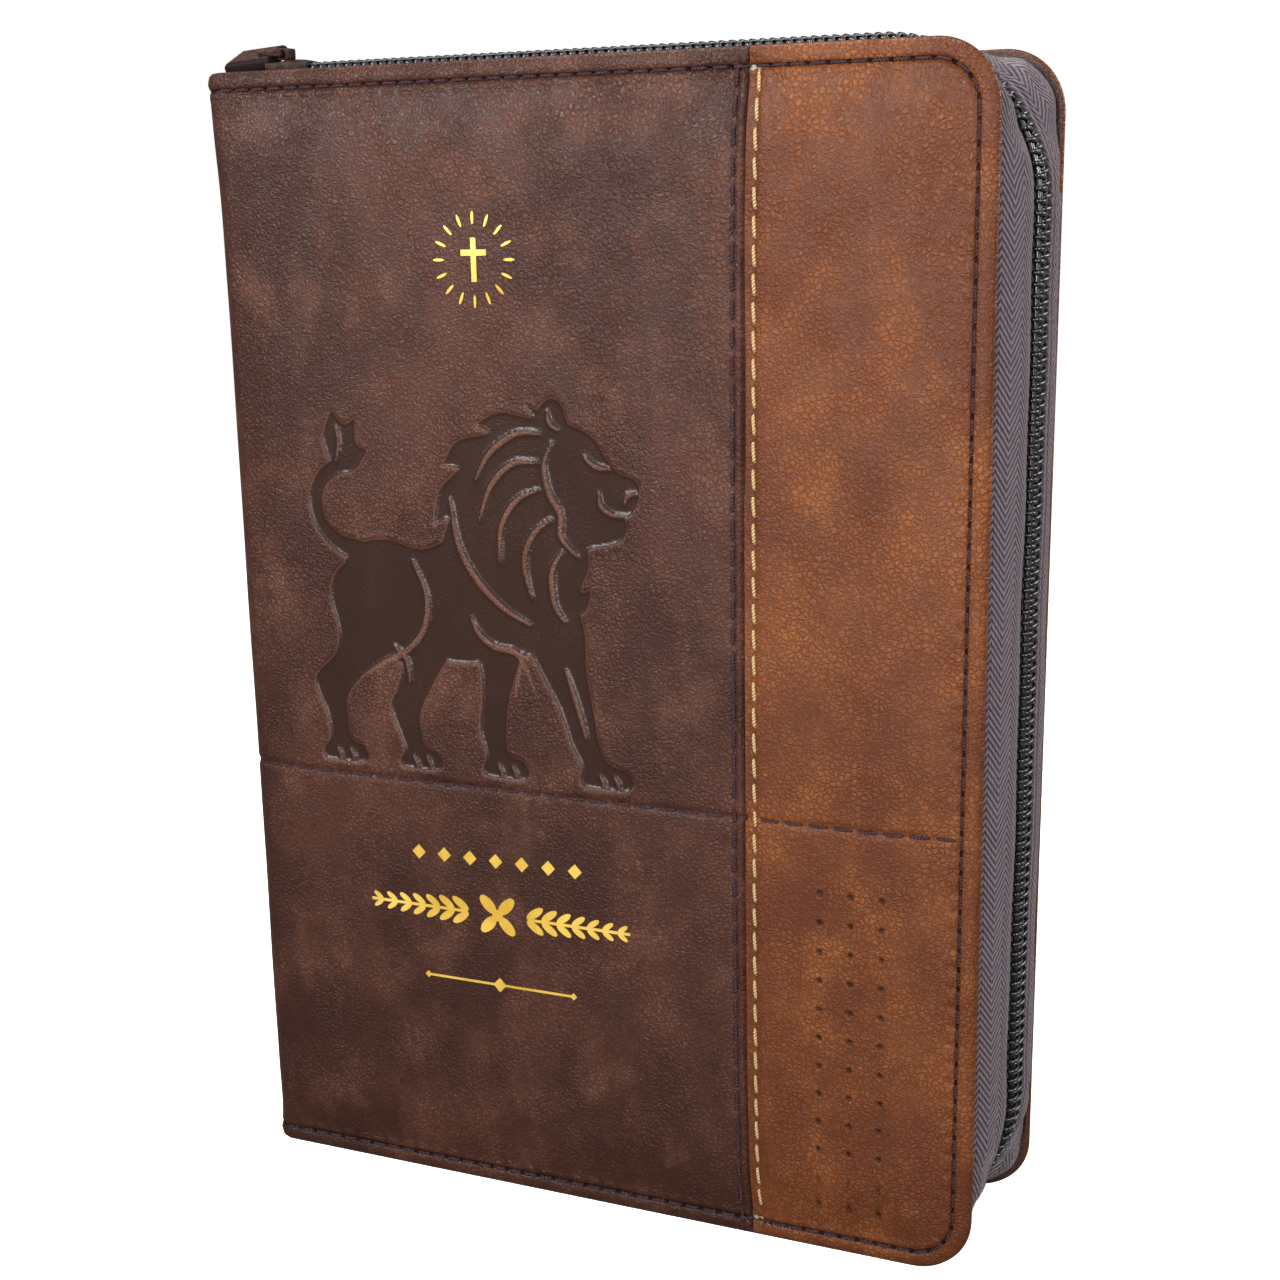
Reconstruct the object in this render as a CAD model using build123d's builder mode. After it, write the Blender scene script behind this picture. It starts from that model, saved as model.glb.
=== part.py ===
from build123d import *
import os

# A zip-round bible: a thick page block in a padded two-tone leather case,
# closed on three sides by a coil zip.  Millimetres, Z up.  It stands on its
# lower edge with the spine at -X and the front cover at -Y.  The origin is
# under the middle of the space it fills, on the surface it stands on.

# Case
HEIGHT = 225.0
COVER_WIDTH = 159.5
LIP_TO_LIP = 42.5
PAD_RISE = 1.3
CORNER_RADIUS = 11.5
LIP_WIDTH = 4.0
PAD_SLOPE = 9.0
LEATHER = 1.0
BOARD = 1.5
LINING = 0.5
LINING_INSET = 0.5
ENDPAPER = 0.3
ENDPAPER_MARGIN = 8.0
TAN_WIDTH = 45.8
RUNNING_GAP = 0.3

# Zip round the head, the fore edge and the tail
TAPE = 0.7
TAPE_LIP_INSET = 1.2
TAPE_PROUD = 0.8
TAPE_HEAD_PROUD = 0.2
TAPE_TAIL_INSET = 2.3
CHAIN_RADIUS = 28.0
CHAIN_HALF_WIDTH = 3.25
CHAIN_GAP = 0.5
FLAT_TAPE = 3.6
COIL = 1.7
TAPE_START = 7.0
COIL_START = 20.0
STOP_LENGTH = 2.4
STOP_HEIGHT = 1.5

# Slider and pull
SLIDER_PARK = 2.2
SLIDER_LENGTH = 10.0
PLATE = 1.0
FLANGE = 0.9
POST_LENGTH = 2.5
POST_HALF_THICKNESS = 0.35
BRIDGE_FROM_TAIL = 2.2
BRIDGE_LENGTH = 3.0
BRIDGE_WIDTH = 2.6
BRIDGE_HEIGHT = 2.2
WIRE_RADIUS = 0.45
WIRE_ABOVE_PLATE = 1.05
RING_LENGTH = 5.0
RING_WIDTH = 4.8
RING_CORNER = 1.0
RING_SLOT_GAP = 0.1
PULL_FROM_PIVOT = 2.6
PULL_OVERHANG = 9.0
PULL_WIDTH = 8.0
PULL_THICKNESS = 2.6
PULL_CORNER = 1.0

# Page block and spine
PAGE_HEIGHT = 209.0
PAGE_FORE_GAP = 9.0
PAGE_CORNER_INSIDE_CHAIN = 20.0
BINDING_DEPTH = 3.2
SPINE_BOARD = 1.2
SPINE_LINING = 0.6
SPINE_INSET = 2.0
LEAF = 0.6
LEAF_STEP = 0.65
FRONT_LEAVES = 6
BACK_LEAVES = 4
BAND_RADIUS = 1.5

# Stitches and foil
THREAD_WIDTH = 0.7
THREAD_HEIGHT = 0.4
STITCH_PITCH = 3.75
STITCH_LENGTH = 2.7
EDGE_STITCH_INSET = 3.0
CORNER_STITCHES = 4
SEAM_PITCH = 4.9
SEAM_STITCH_LENGTH = 3.9
DARK_STITCH_TO_SEAM = 1.9
CREAM_STITCH_TO_SEAM = 2.1
CROSS_STITCH_HEIGHT = 87.0
CROSSING_CLEARANCE = 1.2
FOIL = 0.1
FOIL_FROM_SPINE = 59.5
UPPER_FOIL_HEIGHT = 189.5
LOWER_FOIL_HEIGHT = 60.5

# Planes and edges that follow from the sizes, depths measured from mid-thickness
LEFT = -(PULL_OVERHANG + COVER_WIDTH + TAPE_PROUD + COIL) / 2
SPINE_X = LEFT + PULL_OVERHANG
FORE_X = SPINE_X + COVER_WIDTH
SEAM_X = FORE_X - TAN_WIDTH
LIP_Y = LIP_TO_LIP / 2
PAD_Y = LIP_Y + PAD_RISE
BOARD_Y = LIP_Y - LEATHER
LINING_Y = BOARD_Y - BOARD
ENDPAPER_Y = LINING_Y - LINING
INNER_Y = ENDPAPER_Y - ENDPAPER
BEAD_RADIUS = (PAD_Y - INNER_Y) / 2
HINGE_X = SPINE_X + BEAD_RADIUS
HINGE_Y = INNER_Y + BEAD_RADIUS
POCKET_X = HINGE_X + LEATHER
SPINE_Y = INNER_Y - RUNNING_GAP
CHAIN_HEAD = HEIGHT + TAPE_HEAD_PROUD
COIL_HEAD = CHAIN_HEAD + COIL
SLIDER_X = SPINE_X + SLIDER_PARK
LOWER_PLATE_Z = CHAIN_HEAD - TAPE - RUNNING_GAP - PLATE
UPPER_PLATE_Z = COIL_HEAD + RUNNING_GAP
FLANGE_Z = CHAIN_HEAD + RUNNING_GAP
CHANNEL_Y = CHAIN_HALF_WIDTH + RUNNING_GAP
PIVOT_X = SLIDER_X + BRIDGE_FROM_TAIL
BRIDGE_Z = UPPER_PLATE_Z + PLATE
PIVOT_Z = BRIDGE_Z + WIRE_ABOVE_PLATE
PAGE_BOTTOM = (HEIGHT - PAGE_HEIGHT) / 2
PAGE_TOP = PAGE_BOTTOM + PAGE_HEIGHT
PAGE_X = FORE_X - PAGE_FORE_GAP
PAGE_CORNER = CHAIN_RADIUS - PAGE_CORNER_INSIDE_CHAIN
LINING_X = SPINE_X + LEATHER + SPINE_BOARD
BINDING_X = LINING_X + SPINE_LINING
BINDING_Y = SPINE_Y - RUNNING_GAP
SHOULDER_X = BINDING_X + BINDING_DEPTH
LEAF_X = SHOULDER_X + 2 * RUNNING_GAP + LEAF / 2
LEAF_PITCH = LEAF + RUNNING_GAP
BLOCK_FRONT = SPINE_Y - FRONT_LEAVES * LEAF_PITCH
BLOCK_BACK = SPINE_Y - BACK_LEAVES * LEAF_PITCH
PAD_EDGE = LIP_WIDTH + PAD_SLOPE
DARK_SEAM_X = SEAM_X - DARK_STITCH_TO_SEAM
CREAM_SEAM_X = SEAM_X + CREAM_STITCH_TO_SEAM
SEAM_ROW_START = PAD_EDGE + THREAD_WIDTH
SEAM_ROW_END = HEIGHT - SEAM_ROW_START
CROSS_ROWS = (
    (POCKET_X, DARK_SEAM_X - CROSSING_CLEARANCE),
    (CREAM_SEAM_X + CROSSING_CLEARANCE, FORE_X - PAD_EDGE - THREAD_WIDTH),
)
FOIL_X = SPINE_X + FOIL_FROM_SPINE

os.makedirs("parts", exist_ok=True)


def save(part, label):
    """Name a finished piece and write it to its own file."""
    part.label = label
    export_step(part, f"parts/{label}.step")


def save_mirrored(part, label):
    """Write the back cover's copy of a front cover piece."""
    with BuildPart() as copy:
        mirror(part, about=Plane.XZ)
    save(copy.part, label)


def front(depth):
    """Upright plane facing the front cover, depth in front of mid-thickness."""
    return Plane.XZ.offset(depth)


def draw_outline(left, right, bottom, top, radius):
    """Upright rectangle in the active sketch, its two fore-edge corners rounded."""
    with BuildSketch(mode=Mode.PRIVATE) as outline:
        with Locations(((left + right) / 2, (bottom + top) / 2)):
            Rectangle(right - left, top - bottom)
        fillet(outline.vertices().group_by(Axis.X)[-1], radius)
    add(outline.sketch_local)


def draw_cover(inset, left):
    """Cover outline in the active sketch, inset from its cut edge."""
    radius = max(CORNER_RADIUS - inset, 1.0)
    draw_outline(left, FORE_X - inset, inset, HEIGHT - inset, radius)


def draw_chain(proud, start):
    """Outline of the closed zip, proud of the outer face of its tape."""
    fore = FORE_X + TAPE_PROUD + proud
    tail = TAPE_TAIL_INSET - proud
    draw_outline(start, fore, tail, CHAIN_HEAD + proud, CHAIN_RADIUS + proud)


def draw_pages(left):
    """Outline of the pages in the active sketch, from left to the fore edge."""
    draw_outline(left, PAGE_X, PAGE_BOTTOM, PAGE_TOP, PAGE_CORNER)


def cover_slab(outer, inner, inset, left):
    """Flat layer with the cover's outline, between two depths."""
    with BuildPart() as slab:
        with BuildSketch(front(inner)):
            draw_cover(inset, left)
        extrude(amount=outer - inner)
    return slab.part


def pad_slab(base, wall, left):
    """Padding that swells from the lip to a flat top, a wall inside the leather."""
    with BuildPart() as slab:
        with BuildSketch(front(base)):
            draw_cover(LIP_WIDTH + wall, left)
        with BuildSketch(front(base + PAD_RISE)):
            draw_cover(PAD_EDGE + wall, left)
        loft(ruled=True)
    return slab.part


def tape_taper(thickness, start):
    """Solid inside the tape's slope, from the lip of the cover to the chain."""
    inset = TAPE_LIP_INSET + thickness
    with BuildPart() as taper:
        with BuildSketch(front(FLAT_TAPE)):
            draw_chain(-thickness, start)
        with BuildSketch(front(ENDPAPER_Y)):
            radius = CORNER_RADIUS - TAPE_LIP_INSET
            draw_outline(start, FORE_X - inset, inset, HEIGHT - inset, radius)
        loft(ruled=True)
    return taper.part


def chain_band(outer, inner, depth_out, depth_in, start):
    """Three-sided band on the zip's outline, between two depths."""
    with BuildPart() as band:
        with BuildSketch(front(depth_in)):
            draw_chain(outer, start)
        extrude(amount=depth_out - depth_in)
        with BuildSketch(front(depth_in)):
            draw_chain(inner, start)
        extrude(amount=depth_out - depth_in, mode=Mode.SUBTRACT)
    return band.part


def upright_block(left, right, near, far, bottom, top):
    """Plain block between the given coordinates."""
    with BuildPart() as block:
        with BuildSketch(Plane.XY.offset(bottom)):
            with Locations(((left + right) / 2, (near + far) / 2)):
                Rectangle(right - left, far - near)
        extrude(amount=top - bottom)
    return block.part


def draw_row(start, end, across, upright, pitch, length):
    """Row of stitches in the active sketch, from start to end along one axis."""
    count = int((end - start) / pitch)
    middle = (start + end) / 2
    if upright:
        with Locations((across, middle)):
            with GridLocations(pitch, pitch, 1, count):
                SlotOverall(length, THREAD_WIDTH, rotation=90)
    else:
        with Locations((middle, across)):
            with GridLocations(pitch, pitch, count, 1):
                SlotOverall(length, THREAD_WIDTH)


# Front cover leather: a shallow tray with a sewn lip on three sides, a padded
# panel inside it and a round bead along the spine that serves as the hinge.  The
# stitches on the panel lie in grooves, flush with it, so the book rests flat.
with BuildPart() as front_leather:
    add(cover_slab(LIP_Y, INNER_Y, 0, HINGE_X))
    add(pad_slab(LIP_Y, 0, HINGE_X))
    with BuildSketch(Plane.XY):
        with Locations((HINGE_X, -HINGE_Y)):
            Circle(BEAD_RADIUS)
    extrude(amount=HEIGHT)
    add(cover_slab(BOARD_Y, LINING_Y, LEATHER, POCKET_X), mode=Mode.SUBTRACT)
    add(pad_slab(BOARD_Y, LEATHER, POCKET_X), mode=Mode.SUBTRACT)
    add(cover_slab(LINING_Y, INNER_Y, 0, POCKET_X), mode=Mode.SUBTRACT)
    with BuildSketch(front(PAD_Y)):
        for across in (DARK_SEAM_X, CREAM_SEAM_X):
            with Locations((across, HEIGHT / 2)):
                Rectangle(THREAD_WIDTH, SEAM_ROW_END - SEAM_ROW_START)
        for start, end in CROSS_ROWS:
            with Locations(((start + end) / 2, CROSS_STITCH_HEIGHT)):
                Rectangle(end - start, THREAD_WIDTH)
    extrude(amount=-THREAD_HEIGHT, mode=Mode.SUBTRACT)

# The dark leather runs from the spine to the seam, the tan one to the fore edge.
with BuildPart() as front_dark_leather:
    add(front_leather.part)
    split(bisect_by=Plane.YZ.offset(SEAM_X), keep=Keep.BOTTOM)

with BuildPart() as front_tan_leather:
    add(front_leather.part)
    split(bisect_by=Plane.YZ.offset(SEAM_X), keep=Keep.TOP)

# What the leather is glued over: foam on a stiff board, then the lining that
# covers its turned-in edge and the endpaper pasted on that.
with BuildPart() as front_foam:
    add(pad_slab(BOARD_Y, LEATHER, POCKET_X))

with BuildPart() as front_board:
    add(cover_slab(BOARD_Y, LINING_Y, LEATHER, POCKET_X))

with BuildPart() as front_lining:
    add(cover_slab(LINING_Y, ENDPAPER_Y, LINING_INSET, POCKET_X))

with BuildPart() as front_endpaper:
    add(cover_slab(ENDPAPER_Y, INNER_Y, ENDPAPER_MARGIN, POCKET_X))

# Topstitching: one row round the lip, two along the seam, one straight across.
STITCH_HEAD = HEIGHT - EDGE_STITCH_INSET
STITCH_FORE = FORE_X - EDGE_STITCH_INSET
CORNER_X = FORE_X - CORNER_RADIUS
CORNER_STITCH_RADIUS = CORNER_RADIUS - EDGE_STITCH_INSET
with BuildPart() as front_edge_thread:
    with BuildSketch(front(LIP_Y)):
        for edge in (EDGE_STITCH_INSET, STITCH_HEAD):
            draw_row(POCKET_X, CORNER_X, edge, False, STITCH_PITCH, STITCH_LENGTH)
        top = HEIGHT - CORNER_RADIUS
        draw_row(CORNER_RADIUS, top, STITCH_FORE, True, STITCH_PITCH, STITCH_LENGTH)
        for height, first_angle in ((top, 11.25), (CORNER_RADIUS, 281.25)):
            with Locations((CORNER_X, height)):
                with PolarLocations(CORNER_STITCH_RADIUS, CORNER_STITCHES, first_angle, 90):
                    SlotOverall(STITCH_LENGTH, THREAD_WIDTH, rotation=90)
    extrude(amount=THREAD_HEIGHT)



def seam_thread(across):
    """Row of stitches along the seam, lying in its groove."""
    with BuildPart() as thread:
        with BuildSketch(front(PAD_Y)):
            draw_row(SEAM_ROW_START, SEAM_ROW_END, across, True, SEAM_PITCH, SEAM_STITCH_LENGTH)
        extrude(amount=-THREAD_HEIGHT)
    return thread.part


with BuildPart() as front_seam_thread_dark:
    add(seam_thread(DARK_SEAM_X))

with BuildPart() as front_seam_thread_cream:
    add(seam_thread(CREAM_SEAM_X))

with BuildPart() as front_cross_thread:
    with BuildSketch(front(PAD_Y)):
        for start, end in CROSS_ROWS:
            draw_row(start, end, CROSS_STITCH_HEIGHT, False, SEAM_PITCH, SEAM_STITCH_LENGTH)
    extrude(amount=-THREAD_HEIGHT)

# Zip tape: it leaves the lip, slopes out and carries the coil on a flat edge.
TAPE_X = SPINE_X + TAPE_START
COIL_X = SPINE_X + COIL_START
with BuildPart() as front_zip_tape:
    add(tape_taper(0, TAPE_X))
    add(tape_taper(TAPE, TAPE_X), mode=Mode.SUBTRACT)
    add(chain_band(0, -TAPE, FLAT_TAPE, CHAIN_GAP, TAPE_X))

with BuildPart() as front_zip_coil:
    add(chain_band(COIL, 0, CHAIN_HALF_WIDTH, CHAIN_GAP, COIL_X))

# Stop clamped on the last turn of the coil, at the tail near the spine.
with BuildPart() as front_zip_stop:
    add(
        upright_block(
            COIL_X - RUNNING_GAP - STOP_LENGTH,
            COIL_X - RUNNING_GAP,
            -CHAIN_HALF_WIDTH,
            -CHAIN_GAP,
            TAPE_TAIL_INSET - STOP_HEIGHT,
            TAPE_TAIL_INSET,
        )
    )

cover_pieces = {
    "dark_leather": front_dark_leather,
    "tan_leather": front_tan_leather,
    "foam": front_foam,
    "board": front_board,
    "lining": front_lining,
    "endpaper": front_endpaper,
    "edge_thread": front_edge_thread,
    "seam_thread_dark": front_seam_thread_dark,
    "seam_thread_cream": front_seam_thread_cream,
    "cross_thread": front_cross_thread,
    "zip_tape": front_zip_tape,
    "zip_coil": front_zip_coil,
    "zip_stop": front_zip_stop,
}
for name, piece in cover_pieces.items():
    save(piece.part, f"front_{name}")
    save_mirrored(piece.part, f"back_{name}")

# Gold foil stamped on the front cover: a rayed cross above, and below a laurel
# rule between a row of lozenges and a thin line.
CROSS_UPRIGHT = 8.0
CROSS_ARM = 5.4
CROSS_BAR = 1.1
ARM_RISE = 1.3
RAYS = 16
RAY_RING = 7.6
RAY = 2.4
with BuildPart() as foil_cross:
    with BuildSketch(front(PAD_Y)):
        with Locations((FOIL_X, UPPER_FOIL_HEIGHT)):
            Rectangle(CROSS_BAR, CROSS_UPRIGHT)
            with Locations((0, ARM_RISE)):
                Rectangle(CROSS_ARM, CROSS_BAR)
            with PolarLocations(RAY_RING, RAYS):
                Ellipse(RAY / 2, CROSS_BAR / 4)
    extrude(amount=FOIL)
save(foil_cross.part, "foil_cross")

LOZENGES = 7
LOZENGE_PITCH = 6.0
LOZENGE = 2.2
LOZENGE_RISE = 11.5
ROSE_PETAL = 3.0
ROSE_HEART = 1.2
STEM_START = 7.0
STEM_END = 30.0
STEM = 0.6
LEAF_PAIRS = 7
LAUREL_LEAF = 4.4
LAUREL_LEAF_WIDTH = 1.7
LAUREL_ANGLE = 34.0
LAUREL_OFFSET = 1.5
LINE_DROP = 15.0
LINE_LENGTH = 34.0
LINE = 0.5
with BuildPart() as foil_laurel:
    with BuildSketch(front(PAD_Y)):
        with Locations((FOIL_X, LOWER_FOIL_HEIGHT + LOZENGE_RISE)):
            with GridLocations(LOZENGE_PITCH, 1, LOZENGES, 1):
                Rectangle(LOZENGE, LOZENGE, rotation=45)
        with Locations((FOIL_X, LOWER_FOIL_HEIGHT)):
            with PolarLocations(ROSE_PETAL, 4, 45):
                Ellipse(ROSE_PETAL - ROSE_HEART / 2, ROSE_HEART)
            Circle(ROSE_HEART)
        for side in (-1, 1):
            middle = FOIL_X + side * (STEM_START + STEM_END) / 2
            with Locations((middle, LOWER_FOIL_HEIGHT)):
                Rectangle(STEM_END - STEM_START, STEM)
            step = (STEM_END - STEM_START) / LEAF_PAIRS
            for pair in range(LEAF_PAIRS):
                along = FOIL_X + side * (STEM_START + (pair + 0.5) * step)
                shrink = 1 - 0.5 * pair / LEAF_PAIRS
                for way in (-1, 1):
                    turn = side * way * LAUREL_ANGLE
                    with Locations((along, LOWER_FOIL_HEIGHT + way * LAUREL_OFFSET * shrink)):
                        Ellipse(
                            LAUREL_LEAF * shrink / 2, LAUREL_LEAF_WIDTH * shrink / 2, rotation=turn
                        )
        with Locations((FOIL_X, LOWER_FOIL_HEIGHT - LINE_DROP)):
            Rectangle(LINE_LENGTH, LINE)
            Rectangle(LOZENGE, LOZENGE, rotation=45)
            with GridLocations(LINE_LENGTH, 1, 2, 1):
                Rectangle(LOZENGE / 2, LOZENGE / 2, rotation=45)
    extrude(amount=FOIL)
save(foil_laurel.part, "foil_laurel")

# Spine: leather over a board and a lining, glued to the sewn page block.
with BuildPart() as spine_leather:
    add(upright_block(SPINE_X, SPINE_X + LEATHER, -SPINE_Y, SPINE_Y, 0, HEIGHT))
save(spine_leather.part, "spine_leather")

with BuildPart() as spine_board:
    left = SPINE_X + LEATHER
    board_top = HEIGHT - SPINE_INSET
    add(upright_block(left, LINING_X, -BINDING_Y, BINDING_Y, SPINE_INSET, board_top))
save(spine_board.part, "spine_board")

with BuildPart() as spine_lining:
    add(upright_block(LINING_X, BINDING_X, -BINDING_Y, BINDING_Y, PAGE_BOTTOM, PAGE_TOP))
save(spine_lining.part, "spine_lining")

with BuildPart() as spine_cross_thread:
    with BuildSketch(Plane.YZ.offset(SPINE_X)):
        start = -SPINE_Y + THREAD_WIDTH
        draw_row(start, -start, CROSS_STITCH_HEIGHT, False, SEAM_PITCH, SEAM_STITCH_LENGTH)
    extrude(amount=-THREAD_HEIGHT)
save(spine_cross_thread.part, "spine_cross_thread")

# Page block: the sewn and glued binding edge, its shoulders sloped so that the
# leaves can open, and the pages that stay shut.
with BuildPart() as page_block:
    front_shoulder = SHOULDER_X + (FRONT_LEAVES - 1) * LEAF_STEP
    back_shoulder = SHOULDER_X + (BACK_LEAVES - 1) * LEAF_STEP
    with BuildSketch(Plane.XY.offset(PAGE_BOTTOM)):
        with BuildLine():
            Polyline(
                (BINDING_X, -BINDING_Y),
                (SHOULDER_X, -BINDING_Y),
                (front_shoulder, -BLOCK_FRONT),
                (back_shoulder, BLOCK_BACK),
                (SHOULDER_X, BINDING_Y),
                (BINDING_X, BINDING_Y),
                close=True,
            )
        make_face()
    extrude(amount=PAGE_HEIGHT)
    with BuildSketch(front(-BLOCK_BACK)):
        draw_pages(BINDING_X)
    extrude(amount=BLOCK_FRONT + BLOCK_BACK)
save(page_block.part, "page_block")

for label, height, half in (("head_band", PAGE_TOP, 1), ("tail_band", PAGE_BOTTOM, -1)):
    with BuildPart() as band:
        with BuildSketch(front(-BINDING_Y)):
            with Locations((BINDING_X + BAND_RADIUS, height)):
                Circle(BAND_RADIUS)
            with Locations((BINDING_X + BAND_RADIUS, height - half * BAND_RADIUS)):
                Rectangle(2 * BAND_RADIUS, 2 * BAND_RADIUS, mode=Mode.SUBTRACT)
        extrude(amount=2 * BINDING_Y)
    save(band.part, label)


def save_leaf(number, side, label):
    """Write a leaf that turns about the round bead at its sewn edge."""
    depth = side * (SPINE_Y - LEAF / 2 - number * LEAF_PITCH)
    sewn_edge = LEAF_X + number * LEAF_STEP
    with BuildPart() as leaf:
        with BuildSketch(front(depth - LEAF / 2)):
            draw_pages(sewn_edge)
        extrude(amount=LEAF)
        with BuildSketch(Plane.XY.offset(PAGE_BOTTOM)):
            with Locations((sewn_edge, -depth)):
                Circle(LEAF / 2)
        extrude(amount=PAGE_HEIGHT)
    save(leaf.part, label)


for number in range(FRONT_LEAVES):
    save_leaf(number, 1, f"front_leaf_{number + 1}")
for number in range(BACK_LEAVES):
    save_leaf(number, -1, f"back_leaf_{number + 1}")

# Slider: two plates round the tapes, flanges that hold the coil, and a post
# between the coils.  Its bridge carries a wire ring and the leather pull.
with BuildPart() as slider_body:
    upper_middle = UPPER_PLATE_Z + PLATE / 2
    flange_height = UPPER_PLATE_Z - FLANGE_Z
    with BuildSketch(Plane.YZ.offset(SLIDER_X)):
        with Locations((0, upper_middle), (0, LOWER_PLATE_Z + PLATE / 2)):
            Rectangle(2 * (CHANNEL_Y + FLANGE), PLATE)
        with Locations((0, FLANGE_Z + flange_height / 2)):
            with GridLocations(2 * CHANNEL_Y + FLANGE, 1, 2, 1):
                Rectangle(FLANGE, flange_height)
    extrude(amount=SLIDER_LENGTH)
    with BuildSketch(Plane.XY.offset(LOWER_PLATE_Z)):
        with Locations((SLIDER_X + SLIDER_LENGTH - POST_LENGTH / 2, 0)):
            Rectangle(POST_LENGTH, 2 * POST_HALF_THICKNESS)
    extrude(amount=BRIDGE_Z - LOWER_PLATE_Z)
save(slider_body.part, "slider_body")

with BuildPart() as slider_bridge:
    with BuildSketch(front(-BRIDGE_WIDTH / 2)):
        with Locations((PIVOT_X, BRIDGE_Z + BRIDGE_HEIGHT / 2)):
            RectangleRounded(BRIDGE_LENGTH, BRIDGE_HEIGHT, WIRE_RADIUS)
        with Locations((PIVOT_X, PIVOT_Z)):
            Circle(WIRE_RADIUS + RUNNING_GAP, mode=Mode.SUBTRACT)
    extrude(amount=BRIDGE_WIDTH)
save(slider_bridge.part, "slider_bridge")


def draw_ring(gap):
    """Flat wire ring in the active sketch, grown by gap on every side."""
    half_wire = WIRE_RADIUS + gap
    with Locations((PIVOT_X - RING_LENGTH / 2, 0)):
        RectangleRounded(
            RING_LENGTH + 2 * half_wire, RING_WIDTH + 2 * half_wire, RING_CORNER + half_wire
        )
        RectangleRounded(
            RING_LENGTH - 2 * half_wire,
            RING_WIDTH - 2 * half_wire,
            RING_CORNER - half_wire,
            mode=Mode.SUBTRACT,
        )


with BuildPart() as pull_ring:
    with BuildSketch(Plane.XY.offset(PIVOT_Z - WIRE_RADIUS)):
        draw_ring(0)
    extrude(amount=2 * WIRE_RADIUS)
    chamfer(pull_ring.faces().filter_by(Axis.Z).edges(), WIRE_RADIUS / 3)
save(pull_ring.part, "pull_ring")

with BuildPart() as pull_tab:
    tab_right = PIVOT_X - PULL_FROM_PIVOT
    with BuildSketch(Plane.XY.offset(PIVOT_Z - PULL_THICKNESS / 2)):
        with Locations(((LEFT + tab_right) / 2, 0)):
            RectangleRounded(tab_right - LEFT, PULL_WIDTH, PULL_CORNER)
    extrude(amount=PULL_THICKNESS)
    slot = WIRE_RADIUS + RING_SLOT_GAP
    with BuildSketch(Plane.XY.offset(PIVOT_Z - slot)):
        draw_ring(RING_SLOT_GAP)
    extrude(amount=2 * slot, mode=Mode.SUBTRACT)
save(pull_tab.part, "pull_tab")
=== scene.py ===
import math

import bmesh
import bpy
import numpy as np
from mathutils import Matrix, Vector


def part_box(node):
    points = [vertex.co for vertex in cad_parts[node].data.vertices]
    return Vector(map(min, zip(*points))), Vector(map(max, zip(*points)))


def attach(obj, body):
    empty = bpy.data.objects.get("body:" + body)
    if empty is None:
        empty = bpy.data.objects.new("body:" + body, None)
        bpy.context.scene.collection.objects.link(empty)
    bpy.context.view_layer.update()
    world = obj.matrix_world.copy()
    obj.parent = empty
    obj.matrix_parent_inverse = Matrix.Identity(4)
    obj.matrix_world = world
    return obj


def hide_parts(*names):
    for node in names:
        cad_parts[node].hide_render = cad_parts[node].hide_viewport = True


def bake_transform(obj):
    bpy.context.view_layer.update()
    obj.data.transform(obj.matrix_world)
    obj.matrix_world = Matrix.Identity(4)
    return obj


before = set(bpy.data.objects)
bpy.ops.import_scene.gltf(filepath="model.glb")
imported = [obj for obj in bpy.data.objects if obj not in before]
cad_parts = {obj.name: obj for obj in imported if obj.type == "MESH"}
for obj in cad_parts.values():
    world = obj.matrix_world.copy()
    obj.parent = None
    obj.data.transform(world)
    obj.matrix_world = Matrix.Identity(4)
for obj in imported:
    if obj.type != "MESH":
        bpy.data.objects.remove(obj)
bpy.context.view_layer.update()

# Camera and studio.  The camera stands by the fore edge and looks down a little on
# the front cover.  One wide soft lamp hangs over the head of the book, four smaller
# ones stand round it, on a pale glowing paper sweep that throws no light back.
MM = 0.001
TAU = 2 * math.pi
FORWARD = Vector((-0.424796, 0.864371, -0.269093))
RIGHT = Vector((0.899425, 0.436747, -0.016949))
CAMERA_PLACE = Vector((189.964, -377.297, 198.756))
SENSOR, LENS, LENS_SHIFT, NEAREST = 36, 59.85, 0.125, 0.01
SKY_SEEN, SKY_LIGHT = 0.9, 0.19
PAPER_SIZE, PAPER_BEND, PAPER_GLOW = 6, 0.9, 0.85
LAMPS = (  # name, place, aim, size, power, spread in degrees
    ("lamp_over_head", (-0.15, 0.1, 1.0), (0, 0, 0.12), 0.45, 6, 180),
    ("lamp_left", (-0.6, -0.98, 0.64), (0, 0, 0.30), 0.36, 1.25, 44),
    ("lamp_front", (0.18, -1.32, 0.17), (0.08, 0, 0.26), 0.22, 0.7, 44),
    ("lamp_right", (1.0, -0.5, 0.5), (0.05, 0, 0.18), 0.3, 1.6, 80),
    ("lamp_behind", (0.9, 0.9, 0.6), (0, 0, 0.12), 0.5, 0.9, 60),
)
bpy.ops.object.select_all(action="DESELECT")
bpy.ops.object.camera_add(location=CAMERA_PLACE * MM)
camera = bpy.context.object
camera.matrix_world = Matrix.LocRotScale(
    camera.location,
    Matrix((RIGHT, RIGHT.cross(FORWARD), -FORWARD)).transposed().to_quaternion(),
    None,
)
camera.data.sensor_width = SENSOR
camera.data.lens = LENS
camera.data.shift_y = LENS_SHIFT
camera.data.clip_start = NEAREST
bpy.context.scene.camera = camera

for name, place, aim, size, power, spread_angle in LAMPS:
    bpy.ops.object.light_add(type="AREA", location=place)
    lamp = bpy.context.object
    lamp.name = name
    lamp.data.size = size
    lamp.data.energy = power
    lamp.data.spread = math.radians(spread_angle)
    lamp.rotation_mode = "QUATERNION"
    lamp.rotation_quaternion = (Vector(aim) - Vector(place)).to_track_quat("-Z", "Y")

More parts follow.
